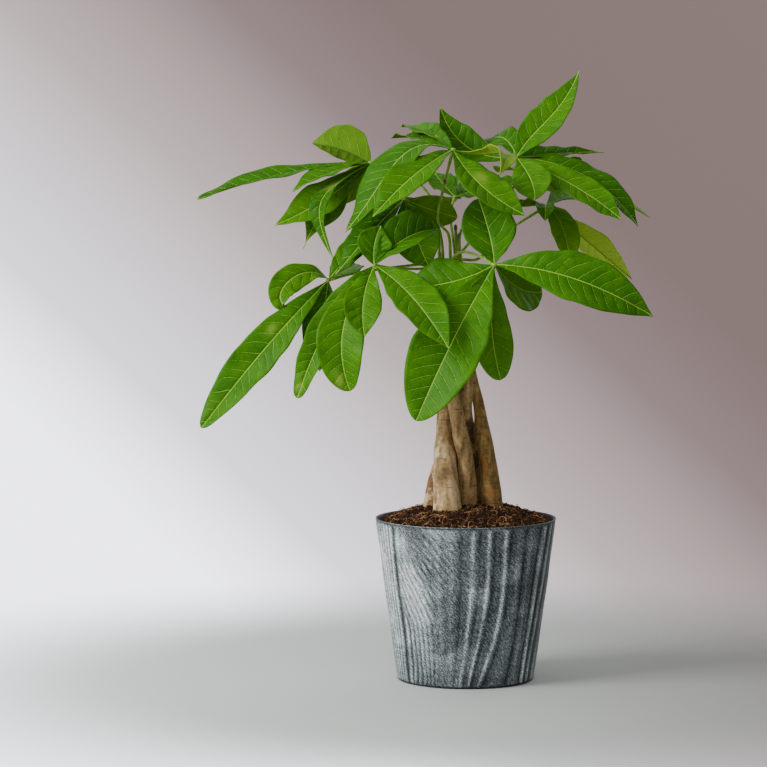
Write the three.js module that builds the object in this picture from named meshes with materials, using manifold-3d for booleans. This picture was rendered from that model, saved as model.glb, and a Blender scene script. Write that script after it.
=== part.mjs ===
// A money tree (Pachira) in a tapered zinc-look pot: five braided trunks, palmate leaves on thin stalks.
// Millimetres, +Z up. The origin is the centre of the pot's flat base, and -Y is the plant's front.
import * as THREE from "three";
import { mergeGeometries, mergeVertices } from "three/addons/utils/BufferGeometryUtils.js";
import Module from "manifold-3d";

const manifold = await Module();
manifold.setup();

// ---- driving dimensions -------------------------------------------------------------------------

const CLEARANCE = 0.3;

const POT_HEIGHT = 126;
const POT_RIM_RADIUS = 70;
const POT_BASE_RADIUS = 53;
const POT_WALL = 1.6;
const POT_FLOOR = 2;
const POT_BASE_ROUND = 1.2;
const POT_HEM_HEIGHT = 1.6;
const POT_HEM_DEPTH = 0.25;
const POT_SEGMENTS = 72;
const POT_WALL_RINGS = 5;
const POT_RIDGES = 24;
const POT_RIDGE_DEPTH = 0.45;

const SOIL_EDGE_DROP = 6.5;
const SOIL_CROWN_HEIGHT = 137;
const SOIL_FULLNESS = 0.75;
const SOIL_LUMP = 1.1;
const SOIL_SEGMENTS = 32;
const SOIL_RINGS = 5;

const TRUNK_SIDES = 10;
const TRUNK_STEPS = 16;
const TRUNK_SWELL = 0.035;

const STALK_RADIUS = 1.05;
const STALK_SIDES = 5;
const STALK_STEPS = 10;
const STALK_SPREAD = 2.3;
const HUB_RADIUS = 2;

const BLADE_THICKNESS = 0.8;
const BLADE_NECK = 0.8;
const BLADE_ALONG = 7;
const BROAD_BLADE = 19;
const WIDEST = 1.25;
const FOLD = 14;
const WAVE = 1.2;

// ---- trunks: [x, y, z, radius] from the roots to the crown -----------------------------------------

const TRUNKS = {
  trunk_front: [
    [-15, -16, 66, 10.4], [-14.3, -17, 128, 11.3], [-16.5, -13.4, 169, 9], [-17, -6.2, 191, 6.8],
    [-16.4, -4, 214, 5.9], [-16.5, -1, 238, 5.6], [-17, -4, 280, 4.2], [-18.1, -4.2, 322, 3.7],
  ],
  trunk_middle: [
    [0.6, -5.3, 66, 8], [0.8, -2.7, 128, 8], [-0.3, -9.8, 169, 6.7], [-4.6, -15.5, 191, 6.2],
    [-8.8, -16.4, 214, 5.5], [-12, -14, 238, 5], [-9.5, -9.5, 280, 4.2], [-10.5, -6.1, 326, 3.7],
  ],
  trunk_rear: [
    [6, 21, 66, 8.4], [6, 20, 128, 8], [4.8, 12, 169, 6.5], [1.6, 7, 191, 6],
    [-0.5, -5.4, 214, 5.2], [2.4, -9.5, 238, 4.8], [-1.5, -3, 280, 4.2], [-6.3, 0.6, 324, 3.7],
  ],
  trunk_right: [
    [20.6, 0, 66, 8.5], [20.6, 0, 128, 8.2], [17, -1.5, 169, 6.9], [13.1, -1.5, 191, 6.4],
    [9.9, 4.6, 214, 4.3], [3.7, 6, 238, 4.7], [-5, 6.5, 280, 4.2], [-11.4, 6.4, 320, 3.7],
  ],
  trunk_left: [
    [-25, 8, 66, 9.4], [-25.8, 7.5, 128, 9], [-14.9, 9, 169, 9.5], [-13, 9.5, 191, 6.8],
    [-8, 10, 214, 5.4], [-6, 12, 238, 5], [-14.5, 6, 280, 4.2], [-18.6, 3.5, 318, 3.7],
  ],
};

// ---- leaves ---------------------------------------------------------------------------------------
// Each leaf: the trunk that it grows from, its stalk's bends, the hub, and its leaflets. A leaflet has
// its tip, the points its midrib bends through, half its width, and the way its upper side faces.

const FRONT = [0, -1, 0.35];
const FRONT_UP = [0, -0.75, 0.66];
const UP = [0, -0.25, 1];

const LEAVES = {
  leaf_front_right: {
    trunk: "trunk_middle",
    seat: -60,
    stalk: [[-3, -20, 333], [8, -48, 331]],
    hub: [19, -72, 325],
    leaflets: [
      { tip: [8, -38, 374], via: [[16, -58, 347]], half: 21, face: FRONT, point: 0.6 },
      { tip: [137, -88, 287], via: [[76, -90, 316]], half: 21, face: [0.1, -1, 0.45] },
      { tip: [57, -30, 303], via: [[38, -50, 307]], half: 17, face: FRONT, point: 0.6 },
      {
        tip: [24, -80, 239], via: [[17, -77, 281]],
        half: 15.5, face: [0.25, -1, 0.1], point: 0.5, widest: 1.5, fold: 3,
      },
      {
        tip: [-40, -112, 211], via: [[-12, -101, 271]],
        half: 27.5, face: [-0.15, -1, 0.3], point: 0.6, widest: 1.25,
      },
      { tip: [-50, -64, 308], via: [[-14, -72, 312]], half: 20.5, face: FRONT_UP },
    ],
  },
  leaf_front_left: {
    trunk: "trunk_front",
    seat: 230,
    stalk: [[-22, -8, 326], [-30, -16, 320.5], [-52, -40, 321]],
    hub: [-71, -62, 324],
    leaflets: [
      { tip: [-16, -122, 265], via: [[-43, -92, 302]], half: 18.5, face: [0.2, -1, 0.6] },
      { tip: [-78, -92, 272], via: [[-79, -84, 299]], half: 15, face: FRONT },
      {
        tip: [-89, -84, 231], via: [[-94, -82, 279]],
        half: 19, face: [-0.2, -1, 0.2], point: 0.5, widest: 1.45,
      },
      {
        tip: [-129, -66, 224], via: [[-105, -66, 280]],
        half: 13, face: [-0.3, -1, 0.3], point: 0.45, widest: 1.05,
      },
      { tip: [-23, -44, 351], via: [[-48, -56, 344]], half: 20, face: FRONT_UP, fold: 33 },
      { tip: [-66, -60, 354], via: [[-71, -59, 339]], half: 14, face: FRONT },
    ],
  },
  leaf_left: {
    trunk: "trunk_front",
    seat: 110,
    stalk: [[-24, -2, 324], [-54, -10, 321], [-85, -25, 317]],
    hub: [-106, -35, 312],
    leaflets: [
      {
        tip: [-137, -72, 293.5], via: [[-125, -50, 318], [-140, -64, 307]],
        half: 11.5, face: [0, -1, 0.5], point: 0.4, widest: 0.95, fold: 4,
      },
      {
        tip: [-202, -60, 201], via: [[-152, -52, 263]],
        half: 17, face: [-0.3, -1, 0.4], point: 0.55, widest: 1.3,
      },
      { tip: [-67, -12, 354], via: [[-88, -26, 333]], half: 13, face: [-0.4, -0.7, 0.6] },
      { tip: [-84, 52, 321], via: [[-94, 8, 318]], half: 12, face: FRONT_UP },
      { tip: [-113, -30, 242], via: [[-110, -36, 280]], half: 16, face: FRONT },
    ],
  },
  leaf_upper_left: {
    trunk: "trunk_left",
    seat: 190,
    stalk: [[-22, 8, 353], [-30, 12, 378], [-52, 10, 396]],
    hub: [-74, 5, 401],
    leaflets: [
      {
        tip: [-120, 42, 416], via: [[-96, 22, 412]],
        half: 20, face: [-0.2, 0.9, 0.45], fold: 24, widest: 0.85,
      },
      {
        tip: [-207, -12, 373], via: [[-138, -2, 393.5]],
        half: 12, face: [0, -0.36, 1], point: 0.5, widest: 1.8,
      },
      { tip: [-134, -22, 379], via: [[-105, -10, 394]], half: 12, face: [-0.3, -0.4, 1] },
      { tip: [-148, -8, 353], via: [[-108, -2, 374]], half: 16, face: [-0.4, -0.9, 0.5], point: 1.2 },
      { tip: [-126, -2, 335], via: [[-104, 6, 374]], half: 16, face: [-0.3, -1, 0.3], point: 2.4 },
      {
        tip: [-102, -40, 328], via: [[-104, -22, 382], [-113, -34, 362]],
        half: 8.5, face: [-0.6, -0.8, 0.3], widest: 0.95,
      },
      { tip: [-93, 45, 369], via: [[-85, 25, 386]], half: 14, face: [0, 0.6, 0.5] },
    ],
  },
  leaf_top: {
    trunk: "trunk_middle",
    seat: 150,
    stalk: [[-14, -8, 346], [-22, -14, 357], [-19, -17, 378]],
    hub: [-11, -20, 411],
    leaflets: [
      { tip: [-50, 45, 429], via: [[-30, 14, 425]], half: 12, face: UP },
      { tip: [-58, 25, 420], via: [[-34, 4, 420]], half: 13, face: UP },
      {
        tip: [-93, -44, 349], via: [[-44, -28, 411], [-67, -38, 385]],
        half: 20, face: [-0.6, -0.7, 0.8], fold: 4,
      },
      { tip: [-72, -72, 361], via: [[-41, -55, 392]], half: 16, face: [-0.3, -0.8, 0.6] },
      { tip: [42, -70, 362], via: [[10, -52, 384]], half: 17, face: [0.3, -0.8, 0.6] },
      { tip: [22, -92, 392], via: [[12, -50, 408], [26, -78, 408]], half: 10, face: [0, 0.5, 0.85] },
    ],
  },
  leaf_upper_right: {
    trunk: "trunk_rear",
    seat: 20,
    stalk: [[-5, 6, 345], [3, 12, 360], [20, 15, 386]],
    hub: [39, 10, 405],
    leaflets: [
      { tip: [88, 25, 472], via: [[53, 14, 424], [71, 20, 443]], half: 15, face: [-0.4, -1, 0.3], widest: 1 },
      { tip: [17, 48, 418], via: [[30, 32, 420]], half: 13, face: FRONT_UP, point: 0.6, fold: 5 },
      { tip: [-20, 30, 444], via: [[2, 26, 413]], half: 13, face: [-0.2, -1, 0.6] },
      { tip: [108, 30, 409], via: [[73, 24, 408.5]], half: 10, face: [0, -0.5, 1], widest: 0.75, point: 1.6 },
      { tip: [132, -6, 352], via: [[94, 6, 390]], half: 15, face: [0.3, -0.6, 0.9] },
      { tip: [117, -30, 358], via: [[83, -12, 383]], half: 14, face: [0.2, -0.8, 0.7] },
      { tip: [51, -34, 373], via: [[49, -14, 388]], half: 16, face: FRONT, point: 0.7 },
      { tip: [145, 38, 358], via: [[97, 32, 383]], half: 13, face: UP },
    ],
  },
  leaf_right: {
    trunk: "trunk_right",
    seat: -20,
    stalk: [[-3, 8, 326], [8, 12, 326], [17, 17, 333], [33, 25, 348]],
    hub: [63, 34, 367],
    leaflets: [
      { tip: [82, 14, 319], via: [[75, 24, 352]], half: 12, face: [0.3, -1, 0.5] },
      { tip: [133, 62, 309], via: [[96, 50, 340]], half: 12.5, face: [0.4, 0.8, 0.4] },
      { tip: [61, 6, 356], via: [[62, 18, 367]], half: 8, face: FRONT_UP },
      { tip: [31, 2, 362], via: [[40, 12, 368]], half: 9, face: [-0.3, 0.4, 1] },
      { tip: [114, 112, 371], via: [[88, 75, 374]], half: 17, face: UP },
    ],
  },
  leaf_mid_left: {
    trunk: "trunk_left",
    seat: 300,
    stalk: [[-21, 1, 350], [-34, -2, 366]],
    hub: [-48, -8, 373],
    leaflets: [
      { tip: [-7, -4, 359], via: [[-27, -4.5, 365]], half: 12, face: [0, -1, 0.1], point: 0.7, fold: 6 },
      { tip: [-29, -30, 321], via: [[-40, -24, 347]], half: 19, face: [0, -1, 0.2] },
      { tip: [-100, -48, 317], via: [[-70, -32, 352]], half: 14, face: [-0.5, -0.7, 0.6] },
      { tip: [-92, -30, 338], via: [[-68, -16, 357]], half: 13, face: [-0.4, -0.7, 0.6] },
    ],
  },
  leaf_back_middle: {
    trunk: "trunk_rear",
    seat: 150,
    stalk: [[-10, 8, 342], [-12, 22, 362]],
    hub: [-8, 35, 374],
    leaflets: [
      { tip: [-24, 72, 393], via: [[-16, 52, 383]], half: 11, face: FRONT_UP },
      { tip: [14, 70, 381], via: [[2, 46, 378]], half: 11, face: FRONT_UP },
      { tip: [-1, 96, 390], via: [[-6, 64, 382]], half: 13, face: [0, -0.2, 1] },
      { tip: [-22, 92, 360], via: [[-15, 60, 369]], half: 14, face: UP },
    ],
  },
  leaf_back_left: {
    trunk: "trunk_left",
    seat: 80,
    stalk: [[-24, 14, 342], [-40, 42, 366]],
    hub: [-53, 66, 375],
    leaflets: [
      { tip: [-85, 110, 371], via: [[-67, 84, 379]], half: 14, face: [0, 0.2, 1] },
      { tip: [-52, 132, 396], via: [[-54, 96, 387]], half: 15, face: [0, 0, 1] },
      { tip: [-29, 126, 364], via: [[-41, 94, 367]], half: 13, face: [0, 0.3, 1] },
      { tip: [-76, 98, 340], via: [[-64, 82, 360]], half: 13, face: [-0.3, 0.5, 0.7] },
    ],
  },
  leaf_back_right: {
    trunk: "trunk_right",
    seat: 110,
    stalk: [[2, 22, 338], [26, 56, 372]],
    hub: [54, 78, 389],
    leaflets: [
      { tip: [98, 124, 396], via: [[76, 102, 398]], half: 15, face: [0, 0.2, 1] },
      { tip: [74, 148, 398], via: [[62, 112, 396]], half: 15, face: [0, 0, 1] },
      { tip: [29, 140, 393], via: [[41, 108, 395]], half: 14, face: [0, 0.1, 1] },
      { tip: [80, 112, 372], via: [[68, 96, 384]], half: 11, face: [0.2, 0.6, 0.6] },
      { tip: [24, 64, 378], via: [[40, 72, 386]], half: 10, face: UP },
    ],
  },
};

// ---- finishes ---------------------------------------------------------------------------------------

const finish = (name, color, roughness, metalness = 0) =>
  new THREE.MeshStandardMaterial({ name, color, roughness, metalness });

const zincFinish = () => finish("zinc", 0x6f7c84, 0.45, 0.75);
const soilFinish = () => finish("soil", 0x46281a, 1);
const barkFinish = () => finish("bark", 0xab8c62, 0.8);
const leafFinish = () => finish("leaf", 0x4f8a12, 0.38);

// ---- shape helpers ----------------------------------------------------------------------------------

const vector = (values) => new THREE.Vector3(values[0], values[1], values[2]);

function weld(geometry) {
  geometry.deleteAttribute("normal");
  geometry.deleteAttribute("uv");
  return mergeVertices(geometry, 1e-4);
}

function solidOf(geometry) {
  const welded = weld(geometry);
  const mesh = new manifold.Mesh({
    numProp: 3,
    vertProperties: new Float32Array(welded.getAttribute("position").array),
    triVerts: new Uint32Array(welded.index.array),
  });
  return new manifold.Manifold(mesh);
}

function geometryOf(solid) {
  const mesh = solid.getMesh();
  const geometry = new THREE.BufferGeometry();
  geometry.setAttribute("position", new THREE.BufferAttribute(mesh.vertProperties, 3));
  geometry.setIndex(new THREE.BufferAttribute(mesh.triVerts, 1));
  geometry.computeVertexNormals();
  return geometry;
}

function meshOf(name, solid, material) {
  const mesh = new THREE.Mesh(geometryOf(solid), material);
  mesh.name = name;
  return mesh;
}

function mappedPlane(columns, rows, place) {
  const plane = new THREE.PlaneGeometry(1, 1, columns, rows);
  const position = plane.getAttribute("position");
  for (let n = 0; n < position.count; n += 1) {
    const column = n % (columns + 1);
    const row = rows - Math.floor(n / (columns + 1));
    const point = place(column, row);
    position.setXYZ(n, point.x, point.y, point.z);
  }
  return plane;
}

// ---- pot ------------------------------------------------------------------------------------------

const potRadiusAt = (z) => POT_BASE_RADIUS + ((POT_RIM_RADIUS - POT_BASE_RADIUS) * z) / POT_HEIGHT;

// Raised grain that runs up the wall in slow bends.
function grainRelief(angle, z) {
  const bend = 0.22 * Math.sin(2 * angle + z / 38) + 0.1 * Math.sin(5 * angle - z / 21);
  return POT_RIDGE_DEPTH * Math.sin(POT_RIDGES * (angle + bend));
}

function potSolid() {
  const wallTop = POT_HEIGHT - POT_HEM_HEIGHT;
  const profile = [
    [0, 0],
    [POT_BASE_RADIUS - POT_BASE_ROUND, 0],
  ];
  for (let ring = 0; ring <= POT_WALL_RINGS; ring += 1) {
    const z = POT_BASE_ROUND + ((wallTop - POT_BASE_ROUND) * ring) / POT_WALL_RINGS;
    profile.push([potRadiusAt(z), z]);
  }
  const rim = potRadiusAt(POT_HEIGHT);
  profile.push([rim + POT_HEM_DEPTH, wallTop + 0.4]);
  profile.push([rim + POT_HEM_DEPTH, POT_HEIGHT - 0.5]);
  profile.push([rim, POT_HEIGHT]);
  profile.push([rim - POT_WALL, POT_HEIGHT]);
  profile.push([potRadiusAt(POT_FLOOR) - POT_WALL, POT_FLOOR]);
  profile.push([0, POT_FLOOR]);
  const points = profile.map(([radius, z]) => new THREE.Vector2(radius, z));
  const lathe = new THREE.LatheGeometry(points, POT_SEGMENTS);
  lathe.rotateX(Math.PI / 2);
  const position = lathe.getAttribute("position");
  for (let n = 0; n < position.count; n += 1) {
    const [x, y, z] = [position.getX(n), position.getY(n), position.getZ(n)];
    const radius = Math.hypot(x, y);
    const onWall = z > POT_BASE_ROUND + 1 && z < wallTop - 1 && Math.abs(radius - potRadiusAt(z)) < 0.1;
    const scale = onWall ? (radius + grainRelief(Math.atan2(y, x), z)) / radius : 1;
    position.setXYZ(n, x * scale, y * scale, z);
  }
  return solidOf(lathe);
}

// ---- soil -----------------------------------------------------------------------------------------

function soilHeight(x, y) {
  const edgeZ = POT_HEIGHT - SOIL_EDGE_DROP;
  const share = Math.hypot(x, y) / potRadiusAt(edgeZ);
  const mound = edgeZ + (SOIL_CROWN_HEIGHT - edgeZ) * Math.pow(Math.max(0, 1 - share * share), SOIL_FULLNESS);
  const lumps = Math.sin(x / 4.1 + 1) * Math.cos(y / 3.7) + 0.6 * Math.sin((x - y) / 6.3);
  return mound + SOIL_LUMP * lumps * (1 - share * 0.7);
}

function soilSolid() {
  const floorZ = POT_FLOOR + CLEARANCE;
  const edgeZ = POT_HEIGHT - SOIL_EDGE_DROP;
  const inner = (z) => potRadiusAt(z) - POT_WALL - CLEARANCE - 0.2;
  const profile = [
    [0, floorZ],
    [inner(floorZ), floorZ],
  ];
  for (let ring = SOIL_RINGS; ring >= 0; ring -= 1) {
    profile.push([(inner(edgeZ) * ring) / SOIL_RINGS, edgeZ]);
  }
  const points = profile.map(([radius, z]) => new THREE.Vector2(radius, z));
  const lathe = new THREE.LatheGeometry(points, SOIL_SEGMENTS);
  lathe.rotateX(Math.PI / 2);
  const position = lathe.getAttribute("position");
  for (let n = 0; n < position.count; n += 1) {
    const [x, y, z] = [position.getX(n), position.getY(n), position.getZ(n)];
    if (Math.abs(z - edgeZ) < 0.01) {
      position.setZ(n, soilHeight(x, y));
    }
  }
  return solidOf(lathe);
}

// ---- trunks ---------------------------------------------------------------------------------------

const smoothThrough = (points) => new THREE.CatmullRomCurve3(points, false, "catmullrom", 0.5);

function trunkSolid(stations, extra) {
  const path = smoothThrough(stations.map(vector));
  const girth = smoothThrough(stations.map((station) => new THREE.Vector3(station[3], 0, 0)));
  const tube = new THREE.CylinderGeometry(1, 1, 1, TRUNK_SIDES, TRUNK_STEPS, false, Math.PI / TRUNK_SIDES);
  const position = tube.getAttribute("position");
  for (let n = 0; n < position.count; n += 1) {
    const share = position.getY(n) + 0.5;
    const centre = path.getPoint(share);
    const swell = 1 + TRUNK_SWELL * Math.sin(share * 31 + stations[0][0]);
    const radius = girth.getPoint(share).x * swell + extra;
    const atEnd = share < 0.001 || share > 0.999;
    const lift = atEnd ? Math.sign(share - 0.5) * extra : 0;
    position.setXYZ(
      n,
      centre.x + position.getX(n) * radius,
      centre.y - position.getZ(n) * radius,
      centre.z + lift,
    );
  }
  return solidOf(tube);
}

// ---- leaves ---------------------------------------------------------------------------------------

// A point on the smooth curve that passes evenly through the given points.
function curvePoint(points, share) {
  const last = points.length - 1;
  const sum = new THREE.Vector3();
  points.forEach((point, index) => {
    let weight = 1;
    for (let other = 0; other <= last; other += 1) {
      if (other !== index) {
        weight *= (share * last - other) / (index - other);
      }
    }
    sum.addScaledVector(point, weight);
  });
  return sum;
}

// Half the blade's width: a wedge at the stalk, widest past the middle, drawn out to a point.
function halfWidthAt(leaflet, share) {
  const blunt = 0.85 + ((leaflet.point ?? 1) - 0.85) * share;
  const outline = Math.pow(Math.max(0, Math.sin(Math.PI * Math.pow(share, leaflet.widest ?? WIDEST))), blunt);
  return Math.max(BLADE_NECK, leaflet.half * outline);
}

function leafletSolid(hub, leaflet) {
  const columns = leaflet.half >= BROAD_BLADE ? 4 : 2;
  const rib = [hub, ...leaflet.via, leaflet.tip].map(vector);
  const chord = vector(leaflet.tip).sub(vector(hub)).normalize();
  const across = new THREE.Vector3().crossVectors(chord, vector(leaflet.face)).normalize();
  const fold = ((leaflet.fold ?? FOLD) * Math.PI) / 180;

  const place = (column, row, level) => {
    const share = row / BLADE_ALONG;
    const side = (2 * column) / columns - 1;
    const step = 0.02;
    const ahead = curvePoint(rib, Math.min(1, share + step));
    const behind = curvePoint(rib, Math.max(0, share - step));
    const along = ahead.sub(behind).normalize();
    const sideways = across.clone().addScaledVector(along, -across.dot(along)).normalize();
    const upper = new THREE.Vector3().crossVectors(sideways, along);
    const half = halfWidthAt(leaflet, share);
    const ripple = WAVE * Math.sin(share * 11 + Math.sign(side)) * side * side * Math.min(1, half / 8);
    const lift = Math.abs(side) * half * Math.sin(fold) + ripple + level * BLADE_THICKNESS * 0.5;
    return curvePoint(rib, share)
      .addScaledVector(sideways, side * half * Math.cos(fold))
      .addScaledVector(upper, lift);
  };

  const edge = [];
  for (let column = 0; column < columns; column += 1) edge.push([column, 0]);
  for (let row = 0; row < BLADE_ALONG; row += 1) edge.push([columns, row]);
  for (let column = columns; column > 0; column -= 1) edge.push([column, BLADE_ALONG]);
  for (let row = BLADE_ALONG; row >= 0; row -= 1) edge.push([0, row]);

  const upperSide = mappedPlane(columns, BLADE_ALONG, (column, row) => place(column, row, 1));
  const lowerSide = mappedPlane(columns, BLADE_ALONG, (column, row) => place(column, row, -1));
  lowerSide.setIndex(Array.from(lowerSide.index.array).reverse());
  const rim = mappedPlane(edge.length - 1, 1, (step, level) => place(...edge[step], level * 2 - 1));
  return solidOf(mergeGeometries([upperSide, lowerSide, rim].map(weld)));
}

function stalkSolid(points) {
  const outline = new THREE.Shape(
    new THREE.EllipseCurve(0, 0, STALK_RADIUS, STALK_RADIUS, 0, 2 * Math.PI).getPoints(STALK_SIDES).slice(1),
  );
  const tube = new THREE.ExtrudeGeometry(outline, {
    steps: STALK_STEPS,
    extrudePath: smoothThrough(points),
    bevelEnabled: false,
  });
  return solidOf(tube);
}

function leafSolid(leaf) {
  const hub = vector(leaf.hub);
  const trunkTop = TRUNKS[leaf.trunk].at(-1);
  const turn = (leaf.seat * Math.PI) / 180;
  const seat = new THREE.Vector3(Math.cos(turn), Math.sin(turn), 0).multiplyScalar(STALK_SPREAD);
  seat.add(vector(trunkTop));
  seat.z += CLEARANCE;
  const rise = seat.clone().setZ(seat.z + 3);
  const hubBall = new THREE.IcosahedronGeometry(HUB_RADIUS, 0);
  hubBall.translate(hub.x, hub.y, hub.z);
  let solid = stalkSolid([seat, rise, ...leaf.stalk.map(vector), hub]).add(solidOf(hubBall));
  for (const leaflet of leaf.leaflets) {
    solid = solid.add(leafletSolid(leaf.hub, leaflet));
  }
  return solid;
}

// ---- the whole plant ------------------------------------------------------------------------------

const plant = new THREE.Group();
plant.add(meshOf("pot", potSolid(), zincFinish()));

let soil = soilSolid();
for (const [name, stations] of Object.entries(TRUNKS)) {
  soil = soil.subtract(trunkSolid(stations, CLEARANCE));
  plant.add(meshOf(name, trunkSolid(stations, 0), barkFinish()));
}
plant.add(meshOf("soil", soil, soilFinish()));

for (const [name, leaf] of Object.entries(LEAVES)) {
  plant.add(meshOf(name, leafSolid(leaf), leafFinish()));
}

export default plant;
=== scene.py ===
"""A potted money tree: braided trunks and palmate leaves in a tapered, embossed zinc pot.

Everything is in the row frame: the origin is the centre of the pot's flat base, +Z is up and -Y is the
plant's front. Sizes in the tables are millimetres, and meshes are metres.
"""

from __future__ import annotations

import logging
import math
import random
from collections.abc import Callable, Iterable, Sequence
from dataclasses import dataclass, field
from enum import Enum
from functools import partial

import bmesh
import bpy
from mathutils import Euler, Matrix, Vector, noise


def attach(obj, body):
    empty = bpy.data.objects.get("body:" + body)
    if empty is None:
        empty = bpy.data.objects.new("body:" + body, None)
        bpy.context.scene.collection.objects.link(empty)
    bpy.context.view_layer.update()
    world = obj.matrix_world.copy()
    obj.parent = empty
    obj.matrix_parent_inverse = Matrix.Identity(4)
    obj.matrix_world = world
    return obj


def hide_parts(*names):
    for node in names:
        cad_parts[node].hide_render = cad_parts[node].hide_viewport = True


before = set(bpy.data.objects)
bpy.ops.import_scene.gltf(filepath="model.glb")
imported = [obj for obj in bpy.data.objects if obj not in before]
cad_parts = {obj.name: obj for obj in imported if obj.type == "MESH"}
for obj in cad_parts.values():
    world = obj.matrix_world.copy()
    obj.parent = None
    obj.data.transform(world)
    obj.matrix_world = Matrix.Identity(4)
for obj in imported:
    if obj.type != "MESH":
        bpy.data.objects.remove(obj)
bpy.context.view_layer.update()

LOG = logging.getLogger("money_tree")
MM = 0.001
SEED = 4108
FULL_TURN = 2 * math.pi

Span = tuple[float, float]
Triple = tuple[float, float, float]
Station = tuple[float, float, float, float]
Stops = Sequence[tuple[float, str]]
Mesh = bmesh.types.BMesh
Piece = bpy.types.Object
Material = bpy.types.Material
Socket = bpy.types.NodeSocket
AddNode = Callable[..., Socket]
Inputs = dict[str, object]


# ---- small helpers ----


def clamp(value: float, low: float = 0.0, high: float = 1.0) -> float:
    """Returns value, kept between low and high."""
    return max(low, min(high, value))


def smooth_step(low: float, high: float, value: float) -> float:
    """Returns a smooth rise from 0 at low to 1 at high, read at value. Low may be above high."""
    share = clamp((value - low) / (high - low))
    return share * share * (3 - 2 * share)


def bell(value: float, centre: float, width: float) -> float:
    """Returns a soft bump that is 1 at centre and fades over width."""
    return math.exp(-(((value - centre) / width) ** 2))


def stray(*place: float) -> float:
    """Returns a smooth random value between about -1 and 1 at a place."""
    return noise.noise(Vector(place))


def ring(angle: float) -> Vector:
    """Returns the level direction at an angle in radians from +X."""
    return Vector((math.cos(angle), math.sin(angle), 0))


def linear_colour(hex_colour: str) -> tuple[float, float, float, float]:
    """Turns a screen colour into a shader's linear one.

    Args:
        hex_colour: six sRGB hex digits, as "8AA05C".

    Returns:
        Linear red, green and blue, and an alpha of 1.
    """
    parts = [int(hex_colour[i : i + 2], 16) / 255 for i in (0, 2, 4)]
    toned = [p / 12.92 if p <= 0.04045 else ((p + 0.055) / 1.055) ** 2.4 for p in parts]
    return (toned[0], toned[1], toned[2], 1.0)


def per_mm(size_mm: float) -> float:
    """Returns the texture scale whose features are size_mm across on coordinates in metres."""
    return 1000.0 / size_mm


def catmull(points: Sequence[Vector], share: float) -> Vector:
    """Finds a point on the smooth curve through evenly spaced points.

    Args:
        points: what the curve passes through, two or more.
        share: where on the curve, from 0 to 1.

    Returns:
        The point on the curve.
    """
    spot = clamp(share) * (len(points) - 1)
    index = min(int(spot), len(points) - 2)
    weight = spot - index
    start, end = points[index], points[index + 1]
    before = points[index - 1] if index > 0 else start * 2 - end
    after = points[index + 2] if index + 2 < len(points) else end * 2 - start
    slope_in, slope_out = (end - before) * 0.5, (after - start) * 0.5
    square, cube = weight * weight, weight * weight * weight
    curve = start + slope_in * weight
    curve += (start * -3 + end * 3 - slope_in * 2 - slope_out) * square
    curve += (start * 2 - end * 2 + slope_in + slope_out) * cube
    return curve


def rib_point(points: Sequence[Vector], share: float) -> Vector:
    """Finds a point on the single bend that passes evenly through the given points.

    Args:
        points: what the bend passes through.
        share: where on the bend, from 0 to 1.

    Returns:
        The point on the bend.
    """
    last = len(points) - 1
    total = Vector()
    for index, point in enumerate(points):
        weight = 1.0
        for other in range(last + 1):
            if other != index:
                weight *= (share * last - other) / (index - other)
        total += point * weight
    return total


def sleeve(
    bm: Mesh, sides: int, rows: int, place: Callable[[float, float], Vector]
) -> list[bmesh.types.BMVert]:
    """Wraps a grid into a tube and welds its seam and its ends.

    Args:
        bm: the mesh that the tube is added to.
        sides: faces around.
        rows: faces along.
        place: finds a point from its angle in radians and its share of the length.

    Returns:
        The vertices that the weld leaves.
    """
    made = bmesh.ops.create_grid(bm, x_segments=sides, y_segments=rows, size=1)["verts"]
    for vert in made:
        vert.co = place((vert.co.x + 1) / 2 * FULL_TURN, (vert.co.y + 1) / 2)
    bmesh.ops.remove_doubles(bm, verts=made, dist=1e-7)
    return [vert for vert in made if vert.is_valid]


def spun(corners: Sequence[tuple[float, float]], sides: int, parts: dict[int, int]) -> Mesh:
    """Spins a half outline around the upright axis into a closed shell.

    Args:
        corners: radius and height of the outline's corners, in millimetres, from axis to axis.
        sides: faces around.
        parts: how many parts an edge is cut into, by its number.

    Returns:
        The shell's mesh.
    """
    bm = bmesh.new()
    verts = [bm.verts.new((0, -radius * MM, z * MM)) for radius, z in corners]
    edges = [bm.edges.new(pair) for pair in zip(verts, verts[1:])]
    for number, count in parts.items():
        bmesh.ops.subdivide_edges(bm, edges=[edges[number]], cuts=count - 1)
    bmesh.ops.spin(
        bm, geom=bm.verts[:] + bm.edges[:], cent=(0, 0, 0), axis=(0, 0, 1), angle=FULL_TURN,
        steps=sides, use_merge=True,
    )
    bmesh.ops.remove_doubles(bm, verts=bm.verts, dist=1e-6)
    bmesh.ops.recalc_face_normals(bm, faces=bm.faces)
    return bm


def new_object(name: str, data: bpy.types.ID) -> Piece:
    """Puts a new object in the scene.

    Args:
        name: the object's name.
        data: the mesh, light or camera that it holds.

    Returns:
        The object.
    """
    made = bpy.data.objects.new(name, data)
    bpy.context.scene.collection.objects.link(made)
    return made


def new_mesh(name: str, bm: Mesh, materials: Sequence[Material]) -> Piece:
    """Turns a finished mesh into an object, and frees it.

    Args:
        name: the object's name.
        bm: the mesh.
        materials: its materials, in slot order.

    Returns:
        The object.
    """
    mesh = bpy.data.meshes.new(name)
    bm.to_mesh(mesh)
    bm.free()
    for material in materials:
        mesh.materials.append(material)
    return new_object(name, mesh)


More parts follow.
